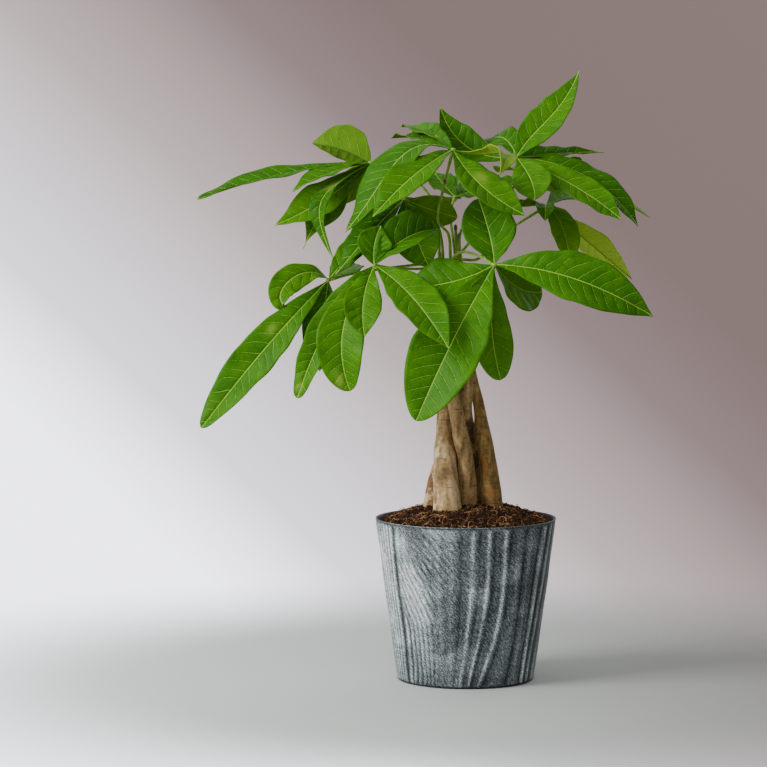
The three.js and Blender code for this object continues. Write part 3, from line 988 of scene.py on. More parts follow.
# Each station holds x, y, z and the radius.
TRUNKS = {trunk.name: trunk for trunk in (
    Trunk(
        "trunk_front",
        (
            (-15, -16, 66, 10.4), (-14.3, -17, 128, 11.3), (-16.5, -13.4, 169, 9), (-17, -6.2, 191, 6.8),
            (-16.4, -4, 214, 5.9), (-16.5, -1, 238, 5.6), (-17, -4, 280, 4.2), (-18.1, -4.2, 322, 3.7),
        ),
        BarkFinish(
            "young bark, tan with pale peeled film",
            ((0.0, "5C4325"), (0.3, "93754A"), (0.55, "BC9F70"), (0.8, "D6BE90"), (1.0, "E8D8B4")),
            film="DDCFA8", film_from=0.68, scar_and_shade="5A3A1A", scar_and_shade_from=0.73, offset=(0.12, 0.3, 0.05),
        ),
        # The pale film marks on the left of this trunk are partly peeling film and partly a painted highlight
        # where the light falls.
        peeled=((-62, 162, 30, 13, 1), (-50, 144, 26, 11, 1), (-25, 178, 16, 8, 1)),
        scarred=((8, 182, 24, 2.4, 1),),
    ),
    Trunk(
        "trunk_middle",
        (
            (0.6, -5.3, 66, 8), (0.8, -2.7, 128, 8), (-0.3, -9.8, 169, 6.7), (-4.6, -15.5, 191, 6.2),
            (-8.8, -16.4, 214, 5.5), (-12, -14, 238, 5), (-9.5, -9.5, 280, 4.2), (-10.5, -6.1, 326, 3.7),
        ),
        BarkFinish(
            "young bark, brown tan",
            ((0.0, "483420"), (0.3, "82663E"), (0.55, "AA8A5A"), (0.8, "C2A474"), (1.0, "DCC69A")),
            film_from=0.74, scar_and_shade_from=0.74, offset=(0.4, 0.2, 0.15),
        ),
    ),
    Trunk(
        "trunk_rear",
        (
            (6, 21, 66, 8.4), (6, 20, 128, 8), (4.8, 12, 169, 6.5), (1.6, 7, 191, 6),
            (-0.5, -5.4, 214, 5.2), (2.4, -9.5, 238, 4.8), (-1.5, -3, 280, 4.2), (-6.3, 0.6, 324, 3.7),
        ),
        # Painted light and shade: these stops are lightened against the shadow of the leaves, and the nearly
        # black scar colour over the broad mark paints shade in the gaps at the front of the braid.
        BarkFinish(
            "young bark, shaded brown",
            ((0.0, "4A341C"), (0.3, "84663D"), (0.55, "B0905C"), (0.8, "CCAF7C"), (1.0, "E2CC9E")),
            film_from=0.76, scar_and_shade="24170B", scar_and_shade_from=0.62, offset=(0.7, 0.5, 0.35),
        ),
        scarred=((0, 176, 90, 30, 1),),
    ),
    Trunk(
        "trunk_right",
        (
            (20.6, 0, 66, 8.5), (20.6, 0, 128, 8.2), (17, -1.5, 169, 6.9), (13.1, -1.5, 191, 6.4),
            (9.9, 4.6, 214, 4.3), (3.7, 6, 238, 4.7), (-5, 6.5, 280, 4.2), (-11.4, 6.4, 320, 3.7),
        ),
        BarkFinish(
            "young bark, olive brown with orange scars",
            ((0.0, "3E2A10"), (0.3, "70562A"), (0.55, "9A7A40"), (0.8, "BC9C60"), (1.0, "D6BC88")),
            film="D9B98A", film_from=0.74, scar_and_shade="9A6026", scar_and_shade_from=0.63, offset=(0.21, 0.66, 0.5),
        ),
        scarred=((-2, 170, 24, 5, 1), (20, 145, 26, 5, 1), (50, 153, 9, 7, 1), (20, 190, 14, 4, 1)),
    ),
    Trunk(
        "trunk_left",
        (
            (-25, 8, 66, 9.4), (-25.8, 7.5, 128, 9), (-14.9, 9, 169, 9.5), (-13, 9.5, 191, 6.8),
            (-8, 10, 214, 5.4), (-6, 12, 238, 5), (-14.5, 6, 280, 4.2), (-18.6, 3.5, 318, 3.7),
        ),
        BarkFinish(
            "rough bark, red brown and peeling",
            ((0.0, "3A2211"), (0.3, "6E4A29"), (0.55, "99703F"), (0.8, "BE9865"), (1.0, "E2CBA0")),
            film="D8C298", film_from=0.72, scar_and_shade="6B4526", scar_and_shade_from=0.64, offset=(0.55, 0.05, 0.8),
        ),
        peeled=((-70, 140, 30, 12, 1), (-40, 158, 25, 8, 1)),
        scarred=((-60, 150, 18, 10, 1),),
    ),
)}


# ---- soil ----


@dataclass
class Soil:
    """The crumbly mound of peat and coir in the pot, with its loose crumbs and fibres."""

    pot: Pot
    edge: float = 119.5
    crown: float = 137.0
    fullness: float = 0.75
    lump: float = 1.1
    segments: int = 240
    rings: int = 84
    reach: float = 65.5
    fibre_reach: float = 64.0
    gap: float = 0.5
    crumbs: int = 5600
    crumb_room: float = 0.8
    crumb_least: float = 0.36
    crumb_spread: float = 0.95
    crumb_rarity: float = 2.2
    crumb_dent: float = 0.28
    crumb_squash: tuple[Span, ...] = ((0.8, 1.6), (0.7, 1.1), (0.5, 0.9))
    fibres: int = 420
    fibre_room: float = 2.0
    fibre_length: Span = (4, 13)
    fibre_rise: Span = (0.4, 2.6)
    fibre_radius: Span = (0.12, 0.24)
    fibre_bend: Span = (-0.9, 0.9)
    dry_every: int = 4
    fibre_sides: int = 4
    fibre_rows: int = 7
    # The fibres that curl up high: x, y, length and rise.
    curls: tuple[Station, ...] = ((24, -47, 7, 4.5), (29, -49, 6, 3.5), (40, -8, 6, 5))
    mound_peat: PeatFinish = PeatFinish()
    crumb_peat: PeatFinish = PeatFinish("peat crumbs")
    coir: PeatFinish = PeatFinish("dry coir fibre", lift=0.2)

    def height(self, x: float, y: float) -> float:
        """Finds the smooth mound's height.

        Args:
            x: millimetres to the right of the middle.
            y: millimetres back from the middle.

        Returns:
            The height, in millimetres.
        """
        share = math.hypot(x, y) / self.pot.radius_at(self.edge)
        mound = self.edge + (self.crown - self.edge) * max(0.0, 1 - share * share) ** self.fullness
        lumps = math.sin(x / 4.1 + 1) * math.cos(y / 3.7) + 0.6 * math.sin((x - y) / 6.3)
        return mound + self.lump * lumps * (1 - share * 0.7)

    def rough_height(self, x: float, y: float) -> float:
        """Finds the crumbly surface's height.

        Args:
            x: millimetres to the right of the middle.
            y: millimetres back from the middle.

        Returns:
            The height, in millimetres.
        """
        return self.height(x, y) - 0.5 + sum(
            weight * stray(x / size, y / size, layer)
            for weight, size, layer in ((1.2, 4.6, 1.7), (1.1, 2.1, 5.2), (0.6, 1.1, 9.9))
        )

    def inner(self, z: float) -> float:
        """Returns the soil's own radius at a height, just inside the pot's wall."""
        return self.pot.radius_at(z) - self.pot.wall - self.gap

    def spot(self, draw: random.Random, room: float) -> tuple[float, float]:
        """Draws a free place on the mound.

        Args:
            draw: the seeded source of chance.
            room: how far from a trunk the place stays, in millimetres.

        Returns:
            Its x and y in millimetres.
        """
        while True:
            radius, turn = self.reach * math.sqrt(draw.random()), draw.uniform(0, FULL_TURN)
            x, y = radius * math.cos(turn), radius * math.sin(turn)
            feet = (trunk.stations[1] for trunk in TRUNKS.values())
            if all(math.hypot(x - foot_x, y - foot_y) >= foot + room for foot_x, foot_y, _, foot in feet):
                return x, y

    def build_mound(self) -> Piece:
        """Spins the soil's half outline and roughens its top.

        Returns:
            The mound's object.
        """
        low, edge = self.pot.floor + 0.3, self.edge
        corners = ((0, low), (self.inner(low), low), (self.inner(edge), edge), (0, edge))
        bm = spun(corners, self.segments, {2: self.rings})
        layer = bm.verts.layers.float.new("tone")
        for vert in bm.verts:
            x, y, z = vert.co / MM
            if z > edge - 1:
                rough = self.rough_height(x, y)
                vert.co.z = rough * MM
                # Painted shade and light: the tone darkens the mound's hollows and lightens its crests.
                vert[layer] = clamp(0.35 + 0.35 * (rough - self.height(x, y)))
        return finish_piece("soil_mound", bm, [self.mound_peat.build()], ("soil",))

    def build_crumbs(self) -> Piece:
        """Scatters the loose crumbs, each a small dented grain.

        Returns:
            The crumbs' object.
        """
        draw = random.Random(SEED + 1)
        bm = bmesh.new()
        layer = bm.verts.layers.float.new("tone")
        for _ in range(self.crumbs):
            x, y = self.spot(draw, self.crumb_room)
            size = self.crumb_least + self.crumb_spread * draw.random() ** self.crumb_rarity
            z = self.rough_height(x, y) + size * 0.25
            squash = Vector([draw.uniform(*span) for span in self.crumb_squash])
            turn = Euler([draw.uniform(0, 6.28) for _ in range(3)]).to_matrix().to_4x4()
            shape = Matrix.Translation(Vector((x, y, z)) * MM) @ turn @ Matrix.Diagonal((*squash, 1))
            grain = bmesh.ops.create_icosphere(bm, subdivisions=1, radius=size * MM, matrix=shape)
            tone = draw.random() ** 1.3
            dent = self.crumb_dent
            for vert in grain["verts"]:
                vert.co += Vector([draw.uniform(-dent, dent) * size * MM for _ in range(3)])
                vert[layer] = tone
        return finish_piece("soil_crumbs", bm, [self.crumb_peat.build()], (), 30)

    def build_fibres(self) -> Piece:
        """Lays the coir fibres on the mound, with a few that curl out of it.

        Returns:
            The fibres' object.
        """
        draw = random.Random(SEED + 2)
        bm = bmesh.new()
        bm.verts.layers.float.new("tone")
        for number in range(self.fibres):
            x, y = self.spot(draw, self.fibre_room)
            size = (draw.uniform(*self.fibre_length), draw.uniform(*self.fibre_rise))
            self.add_fibre(bm, draw, (x, y, *size), number % self.dry_every == 0)
        for fibre in self.curls:
            self.add_fibre(bm, draw, fibre, False)
        bmesh.ops.recalc_face_normals(bm, faces=bm.faces)
        return finish_piece("soil_fibres", bm, [self.coir.build()])

    def add_fibre(self, bm: Mesh, draw: random.Random, fibre: Station, dry: bool) -> None:
        """Adds one curled fibre.

        Args:
            bm: the mesh of all the fibres, which has the tone layer.
            draw: the seeded source of chance.
            fibre: x and y of its start, its length and the rise of its arch.
            dry: whether it is as pale as can be.
        """
        x, y, length, rise = fibre
        heading = draw.uniform(0, FULL_TURN)
        points = []
        for step in range(4):
            reach = length * step / 3
            px, py = x + math.cos(heading) * reach, y + math.sin(heading) * reach
            limit = self.fibre_reach / max(self.fibre_reach, math.hypot(px, py))
            px, py = px * limit, py * limit
            lift = rise * math.sin(math.pi * (0.12 + step / 3.6))
            points.append(Vector((px, py, self.rough_height(px, py) + lift)))
            heading += draw.uniform(*self.fibre_bend)
        thick = draw.uniform(*self.fibre_radius)

        def place(angle: float, share: float) -> Vector:
            """Finds a place on the fibre.

            Args:
                angle: radians round the fibre.
                share: how far along it, from 0 to 1.

            Returns:
                The place, in metres.
            """
            size = thick * math.sqrt(max(0.0, 1 - (2 * share - 1) ** 4))
            along = catmull(points, min(1.0, share + 0.05)) - catmull(points, max(0.0, share - 0.05))
            side = along.cross(Vector((0, 0, 1)))
            side = side.normalized() if side.length > 1e-6 else Vector((1, 0, 0))
            over = side.cross(along).normalized()
            return (catmull(points, share) + (side * math.cos(angle) + over * math.sin(angle)) * size) * MM

        tone = 1.0 if dry else 0.35 + 0.5 * draw.random()
        layer = bm.verts.layers.float["tone"]
        for vert in sleeve(bm, self.fibre_sides, self.fibre_rows, place):
            vert[layer] = tone


# ---- leaves ----

FRONT: Triple = (0, -1, 0.35)
FRONT_UP: Triple = (0, -0.75, 0.66)
UP: Triple = (0, -0.25, 1)


@dataclass(frozen=True)
class Leaflet:
    """One blade of a palmate leaf: where its midrib runs, how wide it is and which way it faces.

    The painted sheen is a pale patch painted where a glossy highlight falls: its share of the length,
    millimetres aside and its length in millimetres.
    """

    tip: Triple
    via: tuple[Triple, ...]
    half: float
    face: Triple = FRONT
    point: float = 1.0
    widest: float = 1.25
    fold: float = 14.0
    # How pale and yellow the leaflet is: partly its own colour, partly painted light shining through it.
    pale: float = 0.0
    # How much lighter or darker the leaflet is: partly its own tone and partly painted light and shade for
    # how the light falls on it.
    shade: float = 0.0
    painted_sheen: Triple = (0.0, 0.0, 0.0)
    neck: float = 0.8
    tip_neck: float = 0.25

    def half_at(self, share: float) -> float:
        """Finds half the blade's width.

        Args:
            share: how far along the blade, from 0 to 1.

        Returns:
            The half width, in millimetres.
        """
        blunt = 0.85 + (self.point - 0.85) * share
        outline = max(0.0, math.sin(math.pi * share**self.widest)) ** blunt
        least = self.neck + (self.tip_neck - self.neck) * smooth_step(0.6, 1.0, share)
        return max(least, self.half * outline)


def add_bead(bm: Mesh, spot: Vector, radius: float, tall: float, brown: float) -> None:
    """Adds a small bead, such as a bud or a knuckle.

    Args:
        bm: the mesh that it is added to, which has the tone layer.
        spot: its middle, in millimetres.
        radius: its radius, in millimetres.
        tall: its height as a share of its width.
        brown: how brown it is, from 0 to 1.
    """
    shape = Matrix.Translation(spot * MM) @ Matrix.Diagonal((1, 1, tall, 1))
    bead = bmesh.ops.create_icosphere(bm, subdivisions=2, radius=radius * MM, matrix=shape)
    layer = bm.verts.layers.float["tone"]
    for vert in bead["verts"]:
        vert[layer] = brown


@dataclass(frozen=True)
class Leaf:
    """One palmate leaf: its trunk, where on it the stalk sits in degrees, its stalk, hub and leaflets."""

    name: str
    trunk: str
    seat: float
    stalk: tuple[Triple, ...]
    hub: Triple
    leaflets: tuple[Leaflet, ...]
    knuckle: float = 0.0
    rows: int = 84
    columns: int = 24
    thickness: float = 0.5
    wave: float = 1.2
    ruffle: float = 0.55
    quilt: float = 2.4
    groove: float = 0.5
    vein_spacing: float = 9.0
    stalk_rows: int = 44
    stalk_sides: int = 12
    stalk_radius: float = 1.05
    stalk_spread: float = 2.3
    hub_radius: float = 2.0
    knuckle_radius: float = 1.5
    edge_wobble: float = 0.07
    vein_wobble: float = 0.45
    vein_slope: float = 0.52
    vein_curve: float = 0.3
    groove_width: float = 1.1
    waves: float = 11.0
    ruffles: float = 29.0
    painted_sheen_strength: float = 0.36
    stalk_gap: float = 0.3
    stalk_rise: float = 3.0
    stalk_taper: float = 0.3
    foot_swell: float = 0.55
    top_swell: float = 0.5

    @staticmethod
    def section(
        rib: Sequence[Vector], across: Vector, twist: float, share: float
    ) -> tuple[Vector, Vector, Vector]:
        """Finds how the blade lies at one place along it.

        Args:
            rib: the points that the midrib bends through.
            across: the blade's direction across.
            twist: how far it turns along its length, in radians.
            share: the share of the length.

        Returns:
            The midrib's place and the directions sideways and upwards.
        """
        along = (rib_point(rib, min(1, share + 0.02)) - rib_point(rib, max(0, share - 0.02))).normalized()
        sideways = (across - along * across.dot(along)).normalized()
        upper = sideways.cross(along)
        cos, sin = math.cos(twist * (share - 0.4)), math.sin(twist * (share - 0.4))
        return rib_point(rib, share), sideways * cos + upper * sin, upper * cos - sideways * sin

    def add_blade(self, bm: Mesh, leaflet: Leaflet, number: int) -> None:
        """Adds one leaflet as a quilted, grooved sheet.

        Args:
            bm: the mesh of all the leaf's blades, which has the blade and tone layers.
            leaflet: the leaflet's sizes.
            number: its place in the leaf, which seeds its small differences.
        """
        draw = random.Random(f"{SEED} {self.name} {number}")
        blade, tone = (bm.verts.layers.float_vector[name] for name in ("blade", "tone"))
        rib = [Vector(p) for p in (self.hub, *leaflet.via, leaflet.tip)]
        across = (rib[-1] - rib[0]).normalized().cross(Vector(leaflet.face)).normalized()
        fold = math.radians(leaflet.fold)
        length = sum((rib_point(rib, (n + 1) / 20) - rib_point(rib, n / 20)).length for n in range(20))
        veins = max(6.0, length / self.vein_spacing)
        # The leaflet's lightness: its shade, which is partly painted light and shade, and a random tone.
        painted_light_and_tone = clamp(0.5 + leaflet.shade + draw.uniform(-0.1, 0.1))
        phase, lean, twist, stagger = (
            draw.uniform(low, high) for low, high in ((0, 6.28), (-0.06, 0.06), (-0.16, 0.16), (0.3, 0.6))
        )
        sections = [self.section(rib, across, twist, n / self.rows) for n in range(self.rows + 1)]
        grid = bmesh.ops.create_grid(bm, x_segments=self.columns, y_segments=self.rows, size=1)
        for vert in grid["verts"]:
            row = round((vert.co.y + 1) / 2 * self.rows)
            share = row / self.rows
            side = math.copysign(abs(vert.co.x) ** 1.25, vert.co.x)
            centre, sideways, upper = sections[row]
            off = abs(side)
            turned = 1 if side > 0 else (-1 if side < 0 else 0)
            uneven = stray(share * length / 13, turned * 5.3, phase * 3)
            half = leaflet.half_at(share) * (1 + self.edge_wobble * uneven * smooth_step(0.95, 0.7, share))
            out = side * half
            slope = self.vein_slope * abs(out) + self.vein_curve * out * out / leaflet.half
            count = (share * length - slope + lean * out) / length * veins + self.vein_wobble * uneven
            count += stagger if turned < 0 else 0
            full = min(1.0, half / 8)
            pillow = abs(math.sin(math.pi * count)) ** 0.8 - 0.55
            relief = self.wave * math.sin(share * self.waves + turned) * side * side
            relief += self.ruffle * math.sin(share * self.ruffles + phase + turned) * off**3
            relief += self.quilt * pillow * off * (1 - off) * (1 + 0.8 * uneven)
            relief -= self.groove * bell(out, 0, self.groove_width) * smooth_step(0.0, 0.1, share)
            lift = off * half * math.sin(fold) + relief * full
            vert.co = (centre + sideways * (out * math.cos(fold)) + upper * lift) * MM
            vert[blade] = Vector((out, share * length, count))
            # The pale share is the leaflet's own colour and, on backlit leaflets, painted light shining
            # through; the patch added below is a painted sheen.
            pale = leaflet.pale * smooth_step(0.0, 0.4, share)
            at, aside, wide = leaflet.painted_sheen
            if wide:
                spot = bell((share - at) * length, 0, wide) * bell(out, aside, wide * 0.6)
                pale += self.painted_sheen_strength * spot
            vert[tone] = Vector((painted_light_and_tone, off, clamp(pale)))

    def build_blades(self, upper: Material, lower: Material) -> Piece:
        """Makes the leaf's blades.

        Args:
            upper: the material of the upper side.
            lower: the material of the lower side and the edge.

        Returns:
            The object of the blades, which replaces the CAD leaf together with the stalk.
        """
        bm = bmesh.new()
        for name in ("blade", "tone"):
            bm.verts.layers.float_vector.new(name)
        for number, leaflet in enumerate(self.leaflets):
            self.add_blade(bm, leaflet, number)
        name = self.name.replace("leaf", "blades")
        piece = finish_piece(name, bm, [upper, lower], (self.name,))
        shell = piece.modifiers.new("thickness", "SOLIDIFY")
        shell.thickness = self.thickness * MM
        shell.offset = 0
        shell.material_offset = shell.material_offset_rim = 1
        return piece

    def build_stalk(self, material: Material) -> Piece:
        """Makes the stalk with its swollen ends, its hub and, where it has one, its brown knuckle.

        Args:
            material: the stalk's skin.

        Returns:
            The stalk's object.
        """
        top, hub = Vector(TRUNKS[self.trunk].stations[-1][:3]), Vector(self.hub)
        seat = top + ring(math.radians(self.seat)) * self.stalk_spread + Vector((0, 0, self.stalk_gap))
        points = [seat, seat + Vector((0, 0, self.stalk_rise)), *[Vector(p) for p in self.stalk], hub]
        last = self.stalk_rows
        spine = [catmull(points, n / last) for n in range(last + 1)]
        frames: list[tuple[Vector, Vector]] = []
        side = Vector((1, 0, 0))
        for n in range(last + 1):
            along = (spine[min(last, n + 1)] - spine[max(0, n - 1)]).normalized()
            side = (side - along * side.dot(along)).normalized()
            frames.append((side, along.cross(side)))

        def place(angle: float, share: float) -> Vector:
            """Finds a place on the stalk.

            Args:
                angle: radians round the stalk.
                share: how far along it, from 0 to 1.

            Returns:
                The place, in metres.
            """
            row = round(share * last)
            thick = 1.25 - self.stalk_taper * share + self.foot_swell * bell(share, 0, 0.05)
            thick += self.top_swell * bell(share, 1, 0.06)
            thick *= min(row, last - row, 1) * self.stalk_radius
            one, other = frames[row]
            return (spine[row] + (one * math.cos(angle) + other * math.sin(angle)) * thick) * MM

        bm = bmesh.new()
        bm.verts.layers.float.new("tone")
        sleeve(bm, self.stalk_sides, last, place)
        shape = Matrix.Translation(hub * MM) @ Matrix.Diagonal((1, 1, 0.85, 1))
        bmesh.ops.create_icosphere(bm, subdivisions=3, radius=self.hub_radius * MM, matrix=shape)
        if self.knuckle:
            add_bead(bm, catmull(points, self.knuckle), self.knuckle_radius, 1.5, 0.85)
        bmesh.ops.recalc_face_normals(bm, faces=bm.faces)
        return finish_piece(self.name.replace("leaf", "stalk"), bm, [material], (self.name,))


LEAVES = (
    Leaf(
        "leaf_front_right", "trunk_middle", -60, ((-3, -20, 333), (8, -48, 331)), (19, -72, 325), (
            Leaflet((8, -38, 374), ((16, -58, 347),), 21, FRONT, 0.6, shade=-0.1),
            Leaflet((137, -88, 287), ((76, -90, 316),), 21, (0.1, -1, 0.45)),
            Leaflet((57, -30, 303), ((38, -50, 307),), 17, FRONT, 0.6, shade=0.4),
            Leaflet((24, -80, 239), ((17, -77, 281),), 15.5, (0.25, -1, 0.1), 0.5, 1.5, 3, shade=0.4),
            Leaflet((-40, -112, 211), ((-12, -101, 271),), 27.5, (-0.15, -1, 0.3), 0.6, 1.25),
            Leaflet((-50, -64, 308), ((-14, -72, 312),), 20.5, FRONT_UP, shade=0.05),
        ),
    ),
    Leaf(
        "leaf_front_left", "trunk_front", 230, ((-22, -8, 326), (-30, -16, 320.5), (-52, -40, 321)),
        (-71, -62, 324), (
            Leaflet((-16, -122, 265), ((-43, -92, 302),), 18.5, (0.2, -1, 0.6), shade=-0.05),
            Leaflet((-78, -92, 272), ((-79, -84, 299),), 15, FRONT, shade=0.05),
            Leaflet((-89, -84, 231), ((-94, -82, 279),), 19, (-0.2, -1, 0.2), 0.5, 1.45, shade=0,
                    painted_sheen=(0.9, 5, 6)),
            Leaflet((-129, -66, 224), ((-105, -66, 280),), 13, (-0.3, -1, 0.3), 0.45, 1.05,
                    painted_sheen=(0.93, 1, 5)),
            Leaflet((-23, -44, 351), ((-48, -56, 344),), 20, FRONT_UP, fold=33, shade=-0.2),
            Leaflet((-66, -60, 354), ((-71, -59, 339),), 14, FRONT, shade=-0.1),
        ),
    ),
    Leaf(
        "leaf_left", "trunk_front", 110, ((-24, -2, 324), (-54, -10, 321), (-85, -25, 317)), (-106, -35, 312),
        (
            Leaflet((-137, -72, 293.5), ((-125, -50, 318), (-140, -64, 307)), 11.5, (0, -1, 0.5), 0.4, 0.95,
                    4, shade=0.1),
            Leaflet((-202, -60, 201), ((-152, -52, 263),), 17, (-0.3, -1, 0.4), 0.55, 1.3,
                    painted_sheen=(0.42, 6, 5)),
            Leaflet((-67, -12, 354), ((-88, -26, 333),), 13, (-0.4, -0.7, 0.6)),
            Leaflet((-84, 52, 321), ((-94, 8, 318),), 12, FRONT_UP, shade=0.1),
            Leaflet((-113, -30, 242), ((-110, -36, 280),), 16, FRONT, shade=-0.15),
        ),
    ),
    Leaf(
        "leaf_upper_left", "trunk_left", 190, ((-22, 8, 353), (-30, 12, 378), (-52, 10, 396)), (-74, 5, 401),
        (
            Leaflet((-120, 42, 416), ((-96, 22, 412),), 20, (-0.2, 0.9, 0.45), widest=0.85, fold=24),
            Leaflet((-207, -12, 373), ((-138, -2, 393.5),), 12, (0, -0.36, 1), 0.5, 1.8, shade=-0.3),
            Leaflet((-134, -22, 379), ((-105, -10, 394),), 12, (-0.3, -0.4, 1), shade=-0.05),
            Leaflet((-148, -8, 353), ((-108, -2, 374),), 16, (-0.4, -0.9, 0.5), 1.2, shade=0.12),
            Leaflet((-126, -2, 335), ((-104, 6, 374),), 16, (-0.3, -1, 0.3), 2.4, shade=0.15),
            Leaflet((-102, -40, 328), ((-104, -22, 382), (-113, -34, 362)), 8.5, (-0.6, -0.8, 0.3),
                    widest=0.95, shade=-0.35, painted_sheen=(0.3, 0, 8)),
            Leaflet((-93, 45, 369), ((-85, 25, 386),), 14, (0, 0.6, 0.5)),
        ),
    ),
    Leaf(
        "leaf_top", "trunk_middle", 150, ((-14, -8, 346), (-22, -14, 357), (-19, -17, 378)), (-11, -20, 411),
        (
            Leaflet((-50, 45, 429), ((-30, 14, 425),), 12, UP, shade=0.05),
            Leaflet((-58, 25, 420), ((-34, 4, 420),), 13, UP, shade=-0.15),
            Leaflet((-93, -44, 349), ((-44, -28, 411), (-67, -38, 385)), 20, (-0.6, -0.7, 0.8), fold=4,
                    shade=-0.3),
            Leaflet((-72, -72, 361), ((-41, -55, 392),), 16, (-0.3, -0.8, 0.6), shade=0.05),
            Leaflet((42, -70, 362), ((10, -52, 384),), 17, (0.3, -0.8, 0.6), painted_sheen=(0.42, -5, 7)),
            Leaflet((22, -92, 392), ((12, -50, 408), (26, -78, 408)), 10, (0, 0.5, 0.85), pale=0.35,
                    shade=0.3),
        ),
        knuckle=0.86,
    ),
    Leaf(
        "leaf_upper_right", "trunk_rear", 20, ((-5, 6, 345), (3, 12, 360), (20, 15, 386)), (39, 10, 405), (
            Leaflet((88, 25, 472), ((53, 14, 424), (71, 20, 443)), 15, (-0.4, -1, 0.3), widest=1),
            Leaflet((17, 48, 418), ((30, 32, 420),), 13, FRONT_UP, 0.6, fold=5, shade=-0.35),
            Leaflet((-20, 30, 444), ((2, 26, 413),), 13, (-0.2, -1, 0.6), shade=-0.15),
            Leaflet((108, 30, 409), ((73, 24, 408.5),), 10, (0, -0.5, 1), 1.6, 0.75, shade=-0.2),
            Leaflet((132, -6, 352), ((94, 6, 390),), 15, (0.3, -0.6, 0.9), shade=-0.15),
            Leaflet((117, -30, 358), ((83, -12, 383),), 14, (0.2, -0.8, 0.7), shade=0.1),
            Leaflet((51, -34, 373), ((49, -14, 388),), 16, FRONT, 0.7, shade=0.1),
            Leaflet((145, 38, 358), ((97, 32, 383),), 13, UP, shade=0.3, pale=0.2),
        ),
    ),
    Leaf(
        "leaf_right", "trunk_right", -20, ((-3, 8, 326), (8, 12, 326), (17, 17, 333), (33, 25, 348)),
        (63, 34, 367), (
            Leaflet((82, 14, 319), ((75, 24, 352),), 12, (0.3, -1, 0.5), shade=0.45, pale=0.1),
            Leaflet((133, 62, 309), ((96, 50, 340),), 12.5, (0.4, 0.8, 0.4), pale=0.7),
            Leaflet((61, 6, 356), ((62, 18, 367),), 8, FRONT_UP, shade=0.1),
            Leaflet((31, 2, 362), ((40, 12, 368),), 9, (-0.3, 0.4, 1), shade=0.1),
            Leaflet((114, 112, 371), ((88, 75, 374),), 17, UP),
        ),
    ),
    Leaf(
        "leaf_mid_left", "trunk_left", 300, ((-21, 1, 350), (-34, -2, 366)), (-48, -8, 373), (
            Leaflet((-7, -4, 359), ((-27, -4.5, 365),), 12, (0, -1, 0.1), 0.7, fold=6, shade=0.4, pale=0.15),
            Leaflet((-29, -30, 321), ((-40, -24, 347),), 19, (0, -1, 0.2), shade=0.12),
            Leaflet((-100, -48, 317), ((-70, -32, 352),), 14, (-0.5, -0.7, 0.6), shade=-0.25),
            Leaflet((-92, -30, 338), ((-68, -16, 357),), 13, (-0.4, -0.7, 0.6), shade=-0.1),
        ),
    ),
    Leaf(
        "leaf_back_middle", "trunk_rear", 150, ((-10, 8, 342), (-12, 22, 362)), (-8, 35, 374), (
            Leaflet((-24, 72, 393), ((-16, 52, 383),), 11, FRONT_UP, shade=0.05),
            Leaflet((14, 70, 381), ((2, 46, 378),), 11, FRONT_UP, shade=0.1),
            Leaflet((-1, 96, 390), ((-6, 64, 382),), 13, (0, -0.2, 1)),
            Leaflet((-22, 92, 360), ((-15, 60, 369),), 14, UP),
        ),
    ),
    Leaf(
        "leaf_back_left", "trunk_left", 80, ((-24, 14, 342), (-40, 42, 366)), (-53, 66, 375), (
            Leaflet((-85, 110, 371), ((-67, 84, 379),), 14, (0, 0.2, 1)),
            Leaflet((-52, 132, 396), ((-54, 96, 387),), 15, (0, 0, 1)),
            Leaflet((-29, 126, 364), ((-41, 94, 367),), 13, (0, 0.3, 1)),
            Leaflet((-76, 98, 340), ((-64, 82, 360),), 13, (-0.3, 0.5, 0.7)),
        ),
    ),
    Leaf(
        "leaf_back_right", "trunk_right", 110, ((2, 22, 338), (26, 56, 372)), (54, 78, 389), (
            Leaflet((98, 124, 396), ((76, 102, 398),), 15, (0, 0.2, 1)),
            Leaflet((74, 148, 398), ((62, 112, 396),), 15, (0, 0, 1)),
            Leaflet((29, 140, 393), ((41, 108, 395),), 14, (0, 0.1, 1)),
            Leaflet((80, 112, 372), ((68, 96, 384),), 11, (0.2, 0.6, 0.6)),
            Leaflet((24, 64, 378), ((40, 72, 386),), 10, UP),
        ),
    ),
)


@dataclass(frozen=True)
class Shoot:
    """The small new shoot among the stalks: a forked stem with a closed brown bud."""

    forks: tuple[tuple[Triple, ...], ...] = (
        ((-6.6, -1.2, 324.5), (-7.6, -1.5, 337), (-8.4, -1, 351)),
        ((-7.6, -1.2, 335), (-6.6, -0.4, 342), (-4.4, 1, 348)),
    )
    sides: int = 12
    rows: int = 24
    stem_radius: float = 1.7
    bud_radius: float = 1.5
    brown_from: float = 338.0
    brown_to: float = 350.0

    def build(self, material: Material) -> Piece:
        """Sweeps the forks and sets the bud on them.

        Args:
            material: the stalks' skin.

        Returns:
            The shoot's object.
        """
        bm = bmesh.new()
        layer = bm.verts.layers.float.new("tone")
        for fork in self.forks:
            points = [Vector(p) for p in fork]

            def place(angle: float, share: float) -> Vector:
                """Finds a place on the stem.

                Args:
                    angle: radians round the stem.
                    share: how far along it, from 0 to 1.

                Returns:
                    The place, in metres.
                """
                size = self.stem_radius * (1 - 0.3 * share) * math.sqrt(clamp(min(share, 1 - share) * 12))
                return (catmull(points, share) + ring(angle) * size) * MM

            for vert in sleeve(bm, self.sides, self.rows, place):
                vert[layer] = 0.6 * smooth_step(self.brown_from, self.brown_to, vert.co.z / MM)
        add_bead(bm, Vector(self.forks[0][-1]), self.bud_radius, 1.9, 0.95)
        bmesh.ops.recalc_face_normals(bm, faces=bm.faces)
        return finish_piece("shoot", bm, [material])


# ---- stage, light and camera ----


